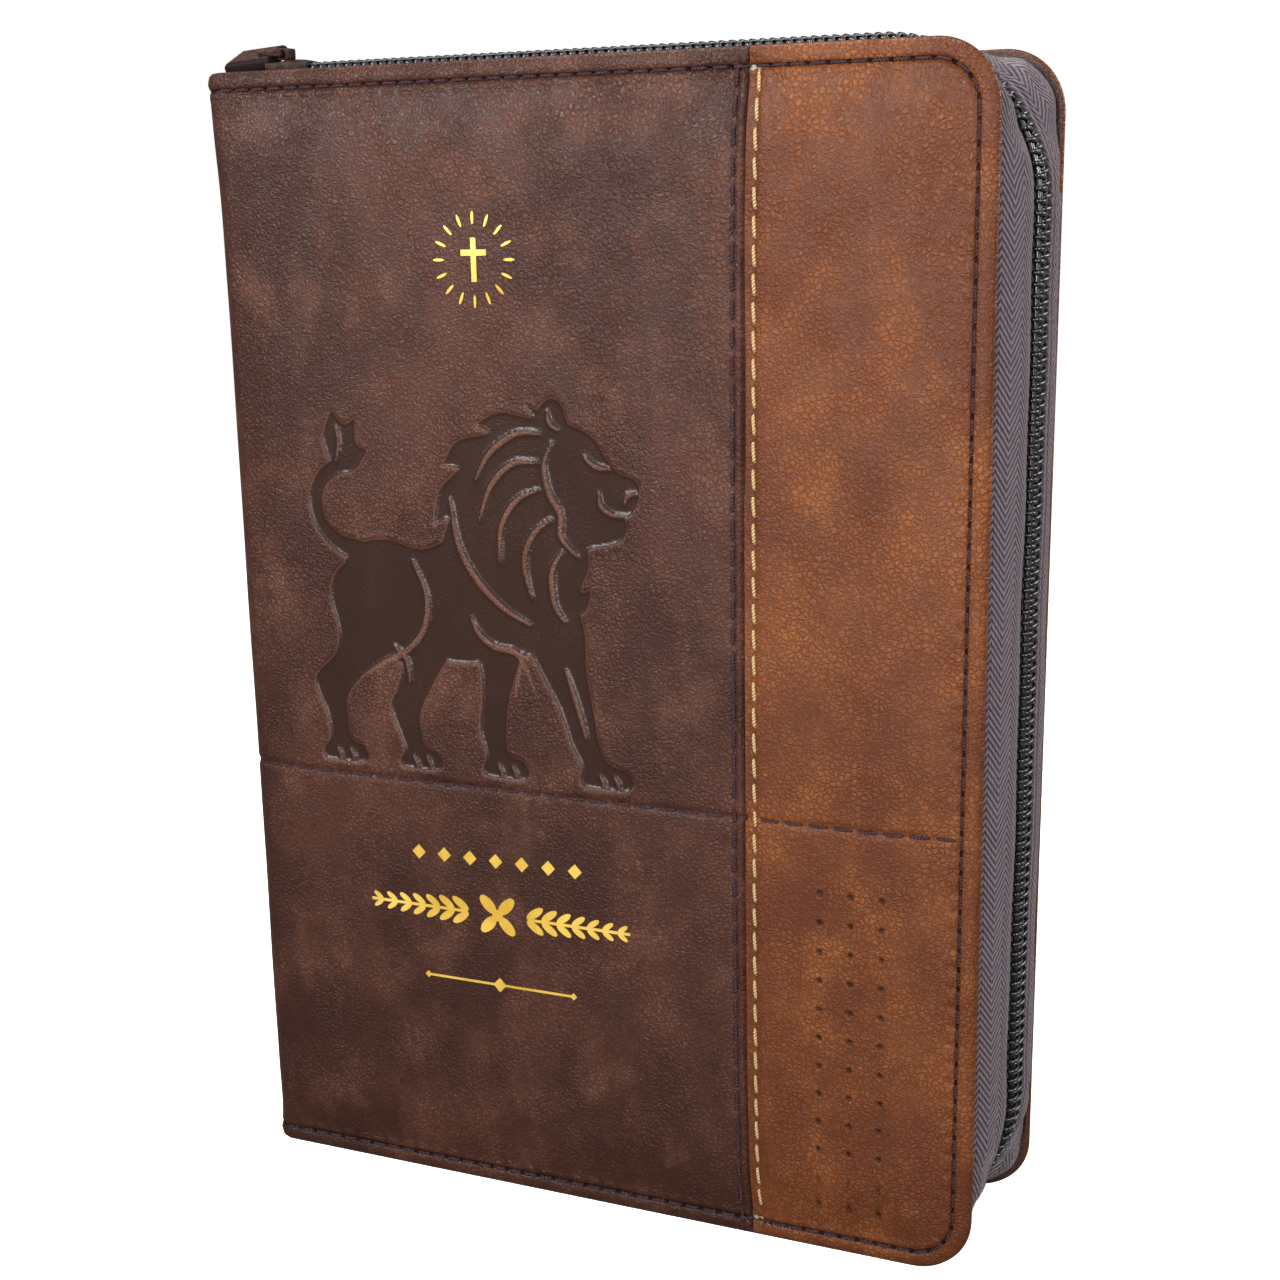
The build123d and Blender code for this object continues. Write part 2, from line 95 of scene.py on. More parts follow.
world = bpy.data.worlds.new("studio")
bpy.context.scene.world = world
world.use_nodes = True
sky = world.node_tree.nodes
sky["Background"].inputs["Color"].default_value = (1, 1, 1, 1)
seen = sky.new("ShaderNodeLightPath")
level = sky.new("ShaderNodeMath")
level.operation = "MULTIPLY_ADD"
level.inputs[1].default_value = SKY_SEEN
level.inputs[2].default_value = SKY_LIGHT
world.node_tree.links.new(seen.outputs["Is Camera Ray"], level.inputs[0])
world.node_tree.links.new(level.outputs[0], sky["Background"].inputs["Strength"])
bpy.context.scene.view_settings.view_transform = "Standard"


class Wire:
    """One value in a material's node tree, so that sums read as sums."""

    def __init__(self, tree, socket):
        self.tree = tree
        self.socket = socket

    def node(self, kind, settings, inputs, output=0):
        """Adds a node with its settings, then its input values and links."""
        made = self.tree.nodes.new(kind)
        for key, value in settings.items():
            setattr(made, key, value)
        for key, value in inputs.items():
            if isinstance(value, Wire):
                self.tree.links.new(value.socket, made.inputs[key])
            else:
                made.inputs[key].default_value = value
        return Wire(self.tree, made.outputs[output])

    def math(self, operation, first, second=0.0):
        return self.node("ShaderNodeMath", {"operation": operation}, {0: first, 1: second})

    def __add__(self, other):
        return self.math("ADD", self, other)

    __radd__ = __add__

    def __sub__(self, other):
        return self.math("SUBTRACT", self, other)

    def __rsub__(self, other):
        return self.math("SUBTRACT", other, self)

    def __mul__(self, other):
        return self.math("MULTIPLY", self, other)

    def __truediv__(self, other):
        return self.math("DIVIDE", self, other)

    def __mod__(self, other):
        return self.math("FLOORED_MODULO", self, other)

    def sine(self):
        return self.math("SINE", self)

    def abs(self):
        return self.math("ABSOLUTE", self)

    def least(self, other):
        return self.math("MINIMUM", self, other)

    def shaken(self, scale, amount):
        """Coordinates pushed about by a noise."""
        inputs = {"Vector": self, "Scale": scale, "Detail": 3.0}
        push = self.node("ShaderNodeTexNoise", {}, inputs, 1).stretched((amount,) * 3)
        return self.node("ShaderNodeVectorMath", {"operation": "ADD"}, {0: self, 1: push})

    def ramp(self, low, high, to_low=0.0, to_high=1.0):
        """Smooth step from low to high."""
        return self.node(
            "ShaderNodeMapRange",
            {"interpolation_type": "SMOOTHSTEP"},
            {0: self, 1: low, 2: high, 3: to_low, 4: to_high},
        )

    def stretched(self, factors):
        return self.node("ShaderNodeVectorMath", {"operation": "MULTIPLY"}, {0: self, 1: factors})

    def part(self, axis):
        return self.node("ShaderNodeSeparateXYZ", {}, {0: self}, "XYZ".index(axis))

    def noise(self, scale, detail=3.0, rough=0.55):
        inputs = {"Vector": self, "Scale": scale, "Detail": detail, "Roughness": rough}
        return self.node("ShaderNodeTexNoise", {}, inputs)

    def cells(self, scale):
        """Distance to the nearest wall between pebbles."""
        inputs = {"Vector": self, "Scale": scale}
        return self.node("ShaderNodeTexVoronoi", {"feature": "DISTANCE_TO_EDGE"}, inputs)

    def field(self, name):
        """A number that keep() stored for each vertex."""
        return self.node("ShaderNodeAttribute", {"attribute_name": name}, {}, 2)

    def mixed(self, first, second):
        """Colour between first and second, with this value as the factor."""
        return self.node("ShaderNodeMix", {"data_type": "RGBA"}, {0: self, 6: first, 7: second}, 2)


def finish_of(name, roughness=0.5, metallic=0.0, sheen=0.0, level=0.5):
    """New material with one shader, its constants set on it; returns both."""
    material = bpy.data.materials.new(name)
    material.use_nodes = True
    shader = material.node_tree.nodes["Principled BSDF"]
    shader.inputs["Roughness"].default_value = roughness
    shader.inputs["Metallic"].default_value = metallic
    shader.inputs["Sheen Weight"].default_value = sheen
    shader.inputs["Specular IOR Level"].default_value = level
    return material, shader


def coordinates(material, source="Object"):
    """Where on the piece a point is: UV maps in millimetres, or Object in metres."""
    node = material.node_tree.nodes.new("ShaderNodeTexCoord")
    return Wire(material.node_tree, node.outputs[source])


def connect(shader, **wires):
    """Links the values that vary over the surface to the shader."""
    for name, wire in wires.items():
        wire.tree.links.new(wire.socket, shader.inputs[name.replace("_", " ")])


def bumped(height, depth):
    """Surface normal from a height of 0 to 1 that stands for depth in metres."""
    return height.node("ShaderNodeBump", {}, {"Strength": 1.0, "Distance": depth, "Height": height})


def dress(nodes, *finishes):
    """Gives the carried-over pieces their finishes."""
    for node in nodes:
        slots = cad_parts[node].data.materials
        slots.clear()
        for finish in finishes:
            slots.append(finish)


def select_only(made):
    bpy.ops.object.select_all(action="DESELECT")
    made.select_set(True)
    bpy.context.view_layer.objects.active = made


def face_outward(mesh, smooth=False):
    """Turns all faces outward, and shades them smooth if asked."""
    work = bmesh.new()
    work.from_mesh(mesh)
    bmesh.ops.recalc_face_normals(work, faces=work.faces)
    if smooth:
        for face in work.faces:
            face.smooth = True
    work.to_mesh(mesh)
    work.free()


def close_tube(faces, begin, rings, sides):
    """Walls between rings of points from begin on, and a cap at each end."""
    for ring in range(rings - 1):
        for k in range(sides):
            low, high = begin + ring * sides, begin + (ring + 1) * sides
            after = (k + 1) % sides
            faces.append((low + k, low + after, high + after, high + k))
    faces.append(tuple(begin + k for k in range(sides)))
    faces.append(tuple(begin + (rings - 1) * sides + k for k in reversed(range(sides))))


bpy.ops.mesh.primitive_plane_add(size=PAPER_SIZE, location=(0, -1.2, 0))
floor = bpy.context.object
floor.name = "floor"
bpy.ops.object.mode_set(mode="EDIT")
sweep = bmesh.from_edit_mesh(floor.data)
for edge in sweep.edges:
    edge.select = all(vertex.co.y > 2.9 for vertex in edge.verts)
sweep.select_flush_mode()
bmesh.update_edit_mesh(floor.data)
bpy.ops.mesh.extrude_region_move(TRANSFORM_OT_translate={"value": (0, 0, 3)})
bpy.ops.mesh.select_all(action="DESELECT")
sweep = bmesh.from_edit_mesh(floor.data)
for edge in sweep.edges:
    edge.select = all(vertex.co.y > 2.9 and vertex.co.z < 0.1 for vertex in edge.verts)
bmesh.update_edit_mesh(floor.data)
bpy.ops.mesh.bevel(offset=PAPER_BEND, segments=16)
bpy.ops.object.mode_set(mode="OBJECT")
bpy.ops.object.shade_smooth()
material, shader = finish_of("pale_paper", roughness=0.9, level=0.2)
tone = coordinates(material).noise(3.0, 2.0)
connect(shader, Base_Color=tone.mixed((0.86, 0.86, 0.86, 1), (0.9, 0.9, 0.9, 1)))
shader.inputs["Emission Color"].default_value = (1, 1, 1, 1)
shader.inputs["Emission Strength"].default_value = PAPER_GLOW
floor.visible_glossy = floor.visible_diffuse = False
floor.data.materials.append(material)


# Case leather.  Each cover is bonded leather glued over foam and board, dark to the
# seam and tan to the fore edge.  The dark leather's folded edge is sewn on the tan
# one, and every row of stitches pulls a groove in the padding.
case_low, case_high = (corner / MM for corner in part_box("front_tan_leather"))
SEAM_X, FORE_X = case_low.x, case_high.x
PAD_Y = -case_low.y
CASE_HEAD = case_high.z
SPINE_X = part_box("spine_leather")[0].x / MM
LIP_Y = -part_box("front_edge_thread")[1].y / MM
PAD_RISE = PAD_Y - LIP_Y
CORNER = 11.5
SPINE_CORNER = 4.5
RIM = 1.45
GROOVE = 3.4
PAD_START = 3.7
PAD_END = 17.0
CROSS_Z = 87.0
DARK_ROW_X = SEAM_X - 1.9
CREAM_ROW_X = SEAM_X + 2.1


def step(low, high, value):
    """Smooth step from 0 at low to 1 at high."""
    share = np.clip((value - low) / (high - low), 0, 1)
    return share * share * (3 - 2 * share)


def dip(distance, width):
    """Rounded groove: 1 on the line, 0 from width away."""
    return 1 - step(0, width, np.abs(distance))


def from_edge(x, z):
    """Distance in from the cut edges of a cover, round its two fore corners."""
    fore = FORE_X - x
    nearer = np.minimum(z, CASE_HEAD - z)
    corner = CORNER - np.hypot(CORNER - fore, CORNER - nearer)
    in_corner = (fore < CORNER) & (nearer < CORNER)
    return np.where(in_corner, corner, np.minimum(fore, nearer))


EDGE_PITCH, EDGE_LENGTH = 3.72, 3.2
EDGE_START = SPINE_X + 2.5


def along_edge(x, z):
    """Distance along the row of edge stitches, from the spine's head to its foot."""
    radius = CORNER - GROOVE
    right, high = FORE_X - CORNER, CASE_HEAD - CORNER
    arc = radius * math.pi / 2
    head, upright = right - EDGE_START, high - CORNER
    upper = z > CASE_HEAD / 2
    over_x = np.maximum(x - right, 0)
    over_z = np.maximum(np.where(upper, z - high, CORNER - z), 0)
    turn = np.arctan2(over_x, np.maximum(over_z, 1e-9))
    round_corner = head + radius * np.minimum(turn, math.pi / 2)
    from_spine = np.where(over_x > 0, round_corner, x - EDGE_START)
    by_fore = (FORE_X - x) < np.where(upper, CASE_HEAD - z, z)
    down = np.where(upper, high - z, z - CORNER)
    along = np.where(by_fore & (over_z <= 0), head + arc + down, from_spine)
    total = 2 * head + 2 * arc + upright
    pitch = total / int(total / EDGE_PITCH)
    return np.where(upper, along, total - along) / pitch * EDGE_PITCH


def pad_height(x, z, tan, plain):
    """How far the leather stands above the lip of a cover."""
    inset = from_edge(x, z)
    share = np.clip((inset - PAD_START) / (PAD_END - PAD_START), 0, 1)
    pad = (PAD_RISE + 0.5) * (1 - (1 - share) ** 1.7) - 0.5 * step(3.2, 3.7, inset)
    hole = np.cos(math.pi * along_edge(x, z) / EDGE_PITCH) ** 4
    pad = pad + (0.4 - 0.4 * hole) * dip(inset - 4.6, 1.1)
    pad = pad * (0.3 + 0.7 * step(SPINE_X + 1, SPINE_X + 13, x))
    lip = (0.16 - 0.12 * hole) * dip(inset - 2.2, 0.8)
    lip = lip - (0.3 + 0.15 * hole) * dip(inset - GROOVE, 0.5)
    on_pad = step(4.5, 9, inset)
    cross = -0.34 * dip(z - CROSS_Z, 1.3) * (0.35 + 0.65 * on_pad)
    if tan:
        seam = -0.62 * (1 - step(SEAM_X + 0.6, SEAM_X + 4.6, x))
        seam = seam - 0.22 * dip(x - CREAM_ROW_X, 0.9)
    else:
        seam = 0.16 * dip(x - (SEAM_X - 0.6), 1.0) - 0.34 * dip(x - DARK_ROW_X, 1.0)
        seam = seam - 0.5 * step(SEAM_X - 0.5, SEAM_X, x) ** 2
    soft = np.sin(x / 9.1 + 0.7) * np.sin(z / 13.3 + 1.9) + 0.6 * np.sin(x / 4.3 + z / 6.1)
    soft = -0.05 * (1.6 - soft) * on_pad
    if plain:
        near_foil = np.maximum(dip(z - 189.5, 26), dip(z - 60.5, 34))
        soft = soft * (1 - near_foil * dip(x + 17, 60))
    return pad + lip + cross + seam * step(0.5, 2.5, inset) + soft


def bowed(x, z):
    """The seam and what is sewn beside it bow a little at the head and the tail."""
    bow = (np.abs(z - CASE_HEAD / 2) / (CASE_HEAD / 2)) ** 4
    return x + bow * dip(x - SEAM_X, 12)


# Rows from a cut edge inward: turned-in leather, round rim, lip, groove, slope.
EDGE_ROWS = [(3.0, -2 * RIM), (RIM, -2 * RIM)]
for angle in (-60, -30, 0, 30, 60):
    turn = math.radians(angle)
    EDGE_ROWS.append((RIM - RIM * math.cos(turn), RIM * math.sin(turn) - RIM))
LIP_INSETS = (RIM, 1.9, 2.3, 2.6, 2.85, 3.1, 3.3, 3.5, 3.7, 3.95, 4.25, 4.6)
SLOPE_INSETS = (5, 5.6, 6.3, 7, 8, 9, 10.2, 11.5, 12.8, 14.2, 15.6)
EDGE_ROWS += [(inset, None) for inset in LIP_INSETS + SLOPE_INSETS]


def spread(start, end, step_length):
    """Evenly spaced values, the end left out."""
    count = max(int(round((end - start) / step_length)), 1)
    return list(np.linspace(start, end, count, endpoint=False))


def skin(name, points, uv):
    """Grid primitive with its vertices moved to rows and columns of points in mm."""
    rows, columns = points.shape[:2]
    bpy.ops.mesh.primitive_grid_add(x_subdivisions=columns - 1, y_subdivisions=rows - 1, size=1)
    made = bpy.context.object
    made.name = made.data.name = name
    made.data.vertices.foreach_set("co", (points.reshape(-1, 3) * MM).ravel())
    corners = np.empty(len(made.data.loops), int)
    made.data.loops.foreach_get("vertex_index", corners)
    flat = uv.reshape(-1, 2)[corners]
    made.data.uv_layers.active.data.foreach_set("uv", flat.ravel())
    return made


def keep(made, name, field):
    """Stores one number for each vertex, for the material to read."""
    layer = made.data.attributes.new(name, "FLOAT", "POINT")
    layer.data.foreach_set("value", field.ravel())


def close_up(made, rows=0, columns=0):
    """Joins the last row of a skin to the first if asked, and fills what is open."""
    work = bmesh.new()
    work.from_mesh(made.data)
    work.verts.ensure_lookup_table()
    last = (rows - 1) * columns
    for column in range(columns - 1 if rows else 0):
        ring = (column, column + 1, last + column + 1, last + column)
        work.faces.new([work.verts[index] for index in ring])
    open_edges = [edge for edge in work.edges if edge.is_boundary]
    bmesh.ops.holes_fill(work, edges=open_edges, sides=0)
    bmesh.ops.recalc_face_normals(work, faces=work.faces)
    work.to_mesh(made.data)
    work.free()
    select_only(made)
    bpy.ops.object.shade_smooth_by_angle(angle=math.radians(62))


def plateau_rows(front):
    """Heights between the padded edges, closer together where detail lies."""
    fine = 0.5 if front else 1.8
    rows = spread(PAD_END, CROSS_Z - 2, 1.5)
    rows += spread(CROSS_Z - 2, CROSS_Z + 2, 0.36)
    rows += spread(CROSS_Z + 2, 165, fine) + spread(165, CASE_HEAD - PAD_END, 1.5)
    return rows + [CASE_HEAD - PAD_END]


def dark_leather(side, front):
    """Dark leather from the seam round the spine's corner to the spine's middle."""
    fine = 0.5 if front else 0.8
    near_seam = (0, 0.1, 0.25, 0.5, 0.8, 1.1, 1.4, 1.7, 2, 2.3, 2.7, 3.2, 4)
    columns = [SEAM_X - inset for inset in near_seam]
    columns += [SEAM_X - inset for inset in spread(5, SEAM_X - 19, 0.8)]
    columns += [19 - run for run in spread(0, 84, fine)]
    columns += [-65 - run for run in spread(0, -65 - SPINE_X - SPINE_CORNER, 0.7)]
    path = [(x, -LIP_Y, 0.0, -1.0) for x in columns]
    centre = SPINE_X + SPINE_CORNER
    for angle in np.linspace(0, 90, 11):
        turn = math.radians(angle)
        across, outward = math.sin(turn), math.cos(turn)
        y = -LIP_Y + SPINE_CORNER - SPINE_CORNER * outward
        path.append((centre - SPINE_CORNER * across, y, -across, -outward))
    for run in spread(0, LIP_Y - SPINE_CORNER, 1.4)[1:] + [LIP_Y - SPINE_CORNER]:
        path.append((SPINE_X, -LIP_Y + SPINE_CORNER + run, -1.0, 0.0))
    path = np.array(path)
    run = np.concatenate(([0], np.cumsum(np.hypot(*np.diff(path[:, :2], axis=0).T))))
    rows = list(EDGE_ROWS)
    rows += [(z, None) for z in plateau_rows(front)]
    rows += [(CASE_HEAD - inset, height) for inset, height in reversed(EDGE_ROWS)]
    z = np.array([row[0] for row in rows])[:, None] + 0 * path[None, :, 0]
    x, y, out_x, out_y = (path[None, :, k] + 0 * z for k in range(4))
    height = pad_height(x, z, False, front)
    height = height * (1 - 0.8 * step(-LIP_Y + 1, -LIP_Y + SPINE_CORNER, y))
    cross = -0.3 * dip(z - CROSS_Z, 1.3)
    height = np.where(y > -LIP_Y + SPINE_CORNER, cross, height)
    for index, row in enumerate(rows):
        if row[1] is not None:
            height[index] = row[1]
    depth, ridge = emblem_fields(x, z)
    if front:
        height = height + emblem_relief(depth, ridge)
    flare = 1.6 * step(188, CASE_HEAD, z) ** 2 + 0.7 * step(16, 0, z) ** 2
    flare = flare * step(SPINE_X + 16, SPINE_X, x)
    points = np.stack(
        (bowed(x + out_x * height, z) - flare, side * (y + out_y * height), z), axis=2
    )
    uv = np.stack((run[None, :] + 0 * z, z), axis=2)
    made = skin(f"{'front' if side > 0 else 'back'}_dark_cover", points, uv)
    plain_field = 0 * depth - 3
    keep(made, "emblem_depth", depth if front else plain_field)
    keep(made, "emblem_ridge", ridge if front else plain_field)
    keep(made, "edge_inset", np.where(y > -LIP_Y + SPINE_CORNER, 50, from_edge(x, z)))
    keep(made, "edge_along", along_edge(x, z))
    return made, x.shape


def tan_leather(side, front):
    """Tan leather from under the seam to the fore edge, on rings round its corners."""
    fine = 0.3 if front else 0.8
    insets = [row[0] for row in EDGE_ROWS]
    across = insets + spread(PAD_END, FORE_X - 51, fine)
    across += spread(FORE_X - 51, FORE_X - SEAM_X - 5, 0.8)
    near_seam = (5, 4.4, 3.8, 3.3, 2.9, 2.6, 2.3, 2, 1.7, 1.4, 1.1, 0.7, 0.2, -0.8)
    across += [FORE_X - SEAM_X - run for run in near_seam]
    rows = spread(PAD_END, 76, fine) + spread(76, CROSS_Z - 2, 0.8)
    rows += spread(CROSS_Z - 2, CROSS_Z + 2, 0.36)
    rows += spread(CROSS_Z + 2, CASE_HEAD - PAD_END, 0.8)
    upright = insets + rows + [CASE_HEAD - PAD_END] + list(reversed(insets))
    heights = [row[1] for row in EDGE_ROWS]
    profile = np.array([(inset, height or 0.0) for inset, height in EDGE_ROWS])
    lengths = np.concatenate(([0], np.cumsum(np.hypot(*np.diff(profile, axis=0).T))))
    reach = lengths[-1] + PAD_END - profile[-1, 0]
    count = len(insets)
    along_a = np.concatenate((lengths, reach + np.array(across[count:]) - PAD_END))
    middle = np.array(upright[count:-count])
    from_end = np.minimum(middle, CASE_HEAD - middle)
    along_b = np.concatenate((lengths, reach + from_end - PAD_END, lengths[::-1]))
    inset_a = np.array(across)
    inset_b = np.concatenate((insets, from_end, insets[::-1]))
    rims = [height or 0.0 for height in heights]
    is_rim = [height is not None for height in heights]
    rim_a = np.array(rims + [0.0] * (len(across) - count))
    rim_b = np.array(rims + [0.0] * len(middle) + rims[::-1])
    on_rim_a = np.array(is_rim + [False] * (len(across) - count))
    on_rim_b = np.array(is_rim + [False] * len(middle) + is_rim[::-1])
    pa, pb = np.meshgrid(along_a, along_b)
    da, db = np.meshgrid(inset_a, inset_b)
    ra, rb = np.meshgrid(rim_a, rim_b)
    oa, ob = np.meshgrid(on_rim_a, on_rim_b)
    fore_first = pa <= pb
    near_p, far_p = np.minimum(pa, pb), np.maximum(pa, pb)
    near = np.where(fore_first, da, db)
    far = np.where(fore_first, db, da)
    rim = np.where(fore_first, ra, rb)
    on_rim = np.where(fore_first, oa, ob)
    share = np.clip((reach - far_p) / np.maximum(reach - near_p, 1e-6), 0, 1)
    radius = np.maximum(CORNER - near, 0)
    straight = PAD_END - np.maximum(near, CORNER)
    travel = share * (straight + math.pi / 4 * radius)
    turn = np.clip((travel - straight) / np.maximum(radius, 1e-6), 0, math.pi / 4)
    on_straight = (travel <= straight) | (radius <= 0)
    sideways = np.where(on_straight, near, CORNER - radius * np.cos(turn))
    onward = np.where(on_straight, PAD_END - travel, CORNER - radius * np.sin(turn))
    onward = np.where(far_p >= reach, far, onward)
    fore = np.where(fore_first, sideways, onward)
    end = np.where(fore_first, onward, sideways)
    head_half = np.arange(len(along_b))[:, None] >= count + np.argmax(middle > CASE_HEAD / 2)
    x = FORE_X - fore
    z = np.where(head_half, CASE_HEAD - end, end)
    height = np.where(on_rim, rim, pad_height(x, z, True, False))
    dimples = dimple_relief(x, z) * ~on_rim if front else 0 * x
    height = height + dimples
    y = -(LIP_Y + height)
    x[:, -1] = x[:, -2]
    y[:, -1] = -(LIP_Y - 2 * RIM)
    points = np.stack((bowed(x, z), side * y, z), axis=2)
    uv = np.stack((FORE_X - fore + 200, z), axis=2)
    made = skin(f"{'front' if side > 0 else 'back'}_tan_cover", points, uv)
    # Painted shade in the pits of the punched dimples, read by the material.
    keep(made, "dimple_pit_shade", np.clip(-1.6 * dimples, 0, 0.85))
    keep(made, "edge_inset", np.where(on_rim, np.minimum(near, 1.0), from_edge(x, z)))
    keep(made, "edge_along", along_edge(x, z))
    return made


DIMPLE_X = np.linspace(127.2 - 74.5, 139.5 - 74.5, 3)
DIMPLE_Z = np.linspace(10.3, 74.0, 12)


def dimple_relief(x, z):
    """Three rows of punched dimples near the foot of the tan leather."""
    relief = 0 * x
    for across in DIMPLE_X:
        for up in DIMPLE_Z:
            away = np.hypot(x - across, z - up)
            relief = relief - 0.6 * (1 - step(0.2, 0.8, away)) + 0.06 * dip(away - 1.0, 0.4)
    return relief


# Emblem: a walking lion pressed into the dark leather with a heated die, its own
# lines left standing.  Outlines are in millimetres from the emblem's lower left.
EMBLEM_X, EMBLEM_Z, EMBLEM_SCALE = -64.0, 89.5, 0.965
OUTLINES = {
    "body": (
        (15, 43), (19, 47), (26, 48), (34, 46.5), (44, 50), (56, 50), (66, 42), (67, 35),
        (62, 28), (52, 25), (42, 23.5), (34, 24.5), (28, 23), (20, 26), (14, 34),
    ),
    "mane": (
        (69, 70), (69, 70), (65.5, 73.5), (59, 76), (59, 76), (60, 73.6), (53, 74.5),
        (47.5, 72), (47.5, 72), (50, 70.3), (43, 68.5), (39.5, 63.5), (39.5, 63.5),
        (43, 63), (38.5, 58.5), (37, 51.5), (37, 51.5), (40.5, 53), (38.5, 47), (40, 40.5),
        (40, 40.5), (42.5, 44), (43.5, 37), (48.5, 32), (48.5, 32), (49, 36.5),
        (52.5, 29.5), (59, 26), (59, 26), (58, 30.5), (64, 28), (69.5, 30.5), (69.5, 30.5),
        (67, 33.5), (71, 36), (72.5, 40.5), (72.5, 40.5), (70, 40), (72, 45), (71.5, 50),
        (71, 57), (72, 64),
    ),
    "head": (
        (66, 72), (70.5, 71.8), (74, 69.8), (76.3, 66.4), (79, 63.6), (82.2, 62.6),
        (83.4, 60.6), (82.8, 57.6), (81.4, 55.6), (80.2, 54.8), (80.6, 53), (79.4, 50.6),
        (76.3, 49.4), (72.5, 48.6), (69, 47), (64, 52), (62, 62),
    ),
    "ear": (
        (62, 71), (61.5, 75), (64.5, 77.5), (67, 76), (68, 71.5), (65, 69),
    ),
    "hind_near": (
        (14, 42), (11, 36), (12.5, 29), (11.5, 23.5), (6.5, 18.5), (6.3, 15), (8.5, 10),
        (9, 5), (7.3, 2.4), (7.6, 0.3), (12, 0), (17, 0.1), (18.4, 1.6), (17, 3.8),
        (14.3, 5), (13.7, 9), (13.8, 14), (18, 19), (25, 23), (31, 28), (33, 38), (24, 46),
    ),
    "hind_far": (
        (24, 28), (27.5, 22), (26.5, 17), (24.6, 13), (26.2, 8), (27.6, 4), (26.4, 1.8),
        (26.8, 0.2), (31, 0), (35.6, 0.1), (36.8, 1.7), (35.4, 3.8), (32.6, 5), (31.6, 9),
        (32, 13), (36, 20), (40, 27), (34, 31),
    ),
    "fore_near": (
        (56, 38), (57, 30), (60.5, 23), (64.5, 16), (67, 9), (69.3, 4.5), (69, 1.8),
        (69.8, 0.2), (75, 0), (79.6, 0.1), (81, 1.9), (79.4, 4.2), (75.8, 5.2), (73.5, 9),
        (72.3, 16), (71, 24), (70.5, 33), (66, 42),
    ),
    "fore_far": (
        (44, 32), (46.5, 24), (46.8, 17), (46, 10), (47.2, 4.6), (46.4, 1.9), (47, 0.2),
        (51.6, 0), (56, 0.1), (57.2, 1.8), (55.8, 4), (52.6, 5.2), (52.2, 10), (53.2, 17),
        (55.5, 24), (58, 32),
    ),
    "tail": (
        (18, 43.5), (12.5, 45.5), (8.2, 50), (7, 56), (9.3, 61), (12.6, 63.6), (12.6, 63.6),
        (11.2, 68.5), (13.6, 74), (13.6, 74), (16.5, 71.2), (19.3, 72.8), (19.3, 72.8),
        (19.2, 67.5), (22, 66.2), (22, 66.2), (18.6, 62), (14.4, 60.8), (11, 58.2),
        (10, 54.6), (11.2, 51), (14.6, 48.4), (20, 47),
    ),
}
RIDGES = (
    (1.3, ((41, 57), (42.5, 48), (46.5, 41), (52.5, 35.5), (58.5, 32.5))),
    (1.2, ((64.5, 69), (62.6, 64.5), (63.6, 59), (66, 55), (66, 50.5), (69.6, 46.8))),
    (1.1, ((61.8, 70.6), (56.5, 70.4), (50.5, 66.5), (47, 61))),
    (1.1, ((61, 65), (55.5, 64.5), (50.5, 60), (47.6, 53))),
    (1.1, ((61.4, 59.6), (56.4, 57.5), (52.6, 52), (52, 44.5))),
    (1.1, ((64, 54), (60, 51), (57.6, 45.5), (59, 38))),
    (1.1, ((66.3, 47.8), (63.8, 43.5), (64.2, 37), (66.6, 33.5))),
    (0.9, ((71.5, 66.5), (74, 64.6), (77.2, 64.2))),
    (0.9, ((83, 59.8), (80.8, 59.2), (80, 57.4))),
    (0.9, ((81.2, 55.2), (77.6, 55.4), (75, 57), (74.6, 59.4))),
    (0.8, ((63.6, 75), (64.2, 72.6), (66, 71.4))),
    (1.3, ((45, 33), (46.5, 30), (50, 27.5), (55, 26.5), (57.6, 23), (59.5, 18))),
    (1.3, ((31.5, 44), (34.5, 37), (33.5, 30), (29, 25), (23, 22), (17.5, 18.6))),
    (1.0, ((26, 26), (29, 23), (29.5, 18.5))),
    (1.0, ((56.8, 27), (55.6, 22), (54.6, 17))),
    (1.0, ((66.2, 24), (68.6, 17), (70.6, 10))),
    (0.8, ((14, 63.5), (15, 67), (14.6, 70.5))),
)
PAW_X = (10.5, 29.5, 49.9, 73.4)


DRAWN_STEPS = 5


def drawn(points, closed):
    """Smooth line through listed points; a point given twice is a sharp tip."""
    points = [np.array(point, float) for point in points]
    count = len(points)
    line = []
    for index in range(count if closed else count - 1):
        before, here = points[index - 1 if closed or index else 0], points[index]
        after = points[(index + 1) % count]
        beyond = points[(index + 2) % count if closed or index + 2 < count else -1]
        if np.allclose(here, after):
            continue
        leave = 0.6 * (after - here) if np.allclose(before, here) else (after - before) / 2
        arrive = 0.6 * (after - here) if np.allclose(after, beyond) else (beyond - here) / 2
        for t in np.linspace(0, 1, DRAWN_STEPS, endpoint=False):
            line.append(
                (2 * t**3 - 3 * t**2 + 1) * here
                + (t**3 - 2 * t**2 + t) * leave
                + (3 * t**2 - 2 * t**3) * after
                + (t**3 - t**2) * arrive
            )
    return np.array(line if closed else line + [points[-1]])


def to_line(x, z, line, closed):
    """Distance to a line, the share of it passed at the nearest place, and inside."""
    best, passed = np.full(x.shape, 99.0), np.zeros(x.shape)
    within = np.zeros(x.shape, bool)
    count = len(line) if closed else len(line) - 1
    for index in range(count):
        start, end = line[index], line[(index + 1) % len(line)]
        run = end - start
        share = ((x - start[0]) * run[0] + (z - start[1]) * run[1]) / max(run @ run, 1e-9)
        share = np.clip(share, 0, 1)
        away = np.hypot(x - start[0] - share * run[0], z - start[1] - share * run[1])
        passed = np.where(away < best, (index + share) / count, passed)
        best = np.minimum(best, away)
        if start[1] != end[1]:
            crosses = (start[1] > z) != (end[1] > z)
            within ^= crosses & (x < start[0] + (z - start[1]) / run[1] * run[0])
    return best, passed, within


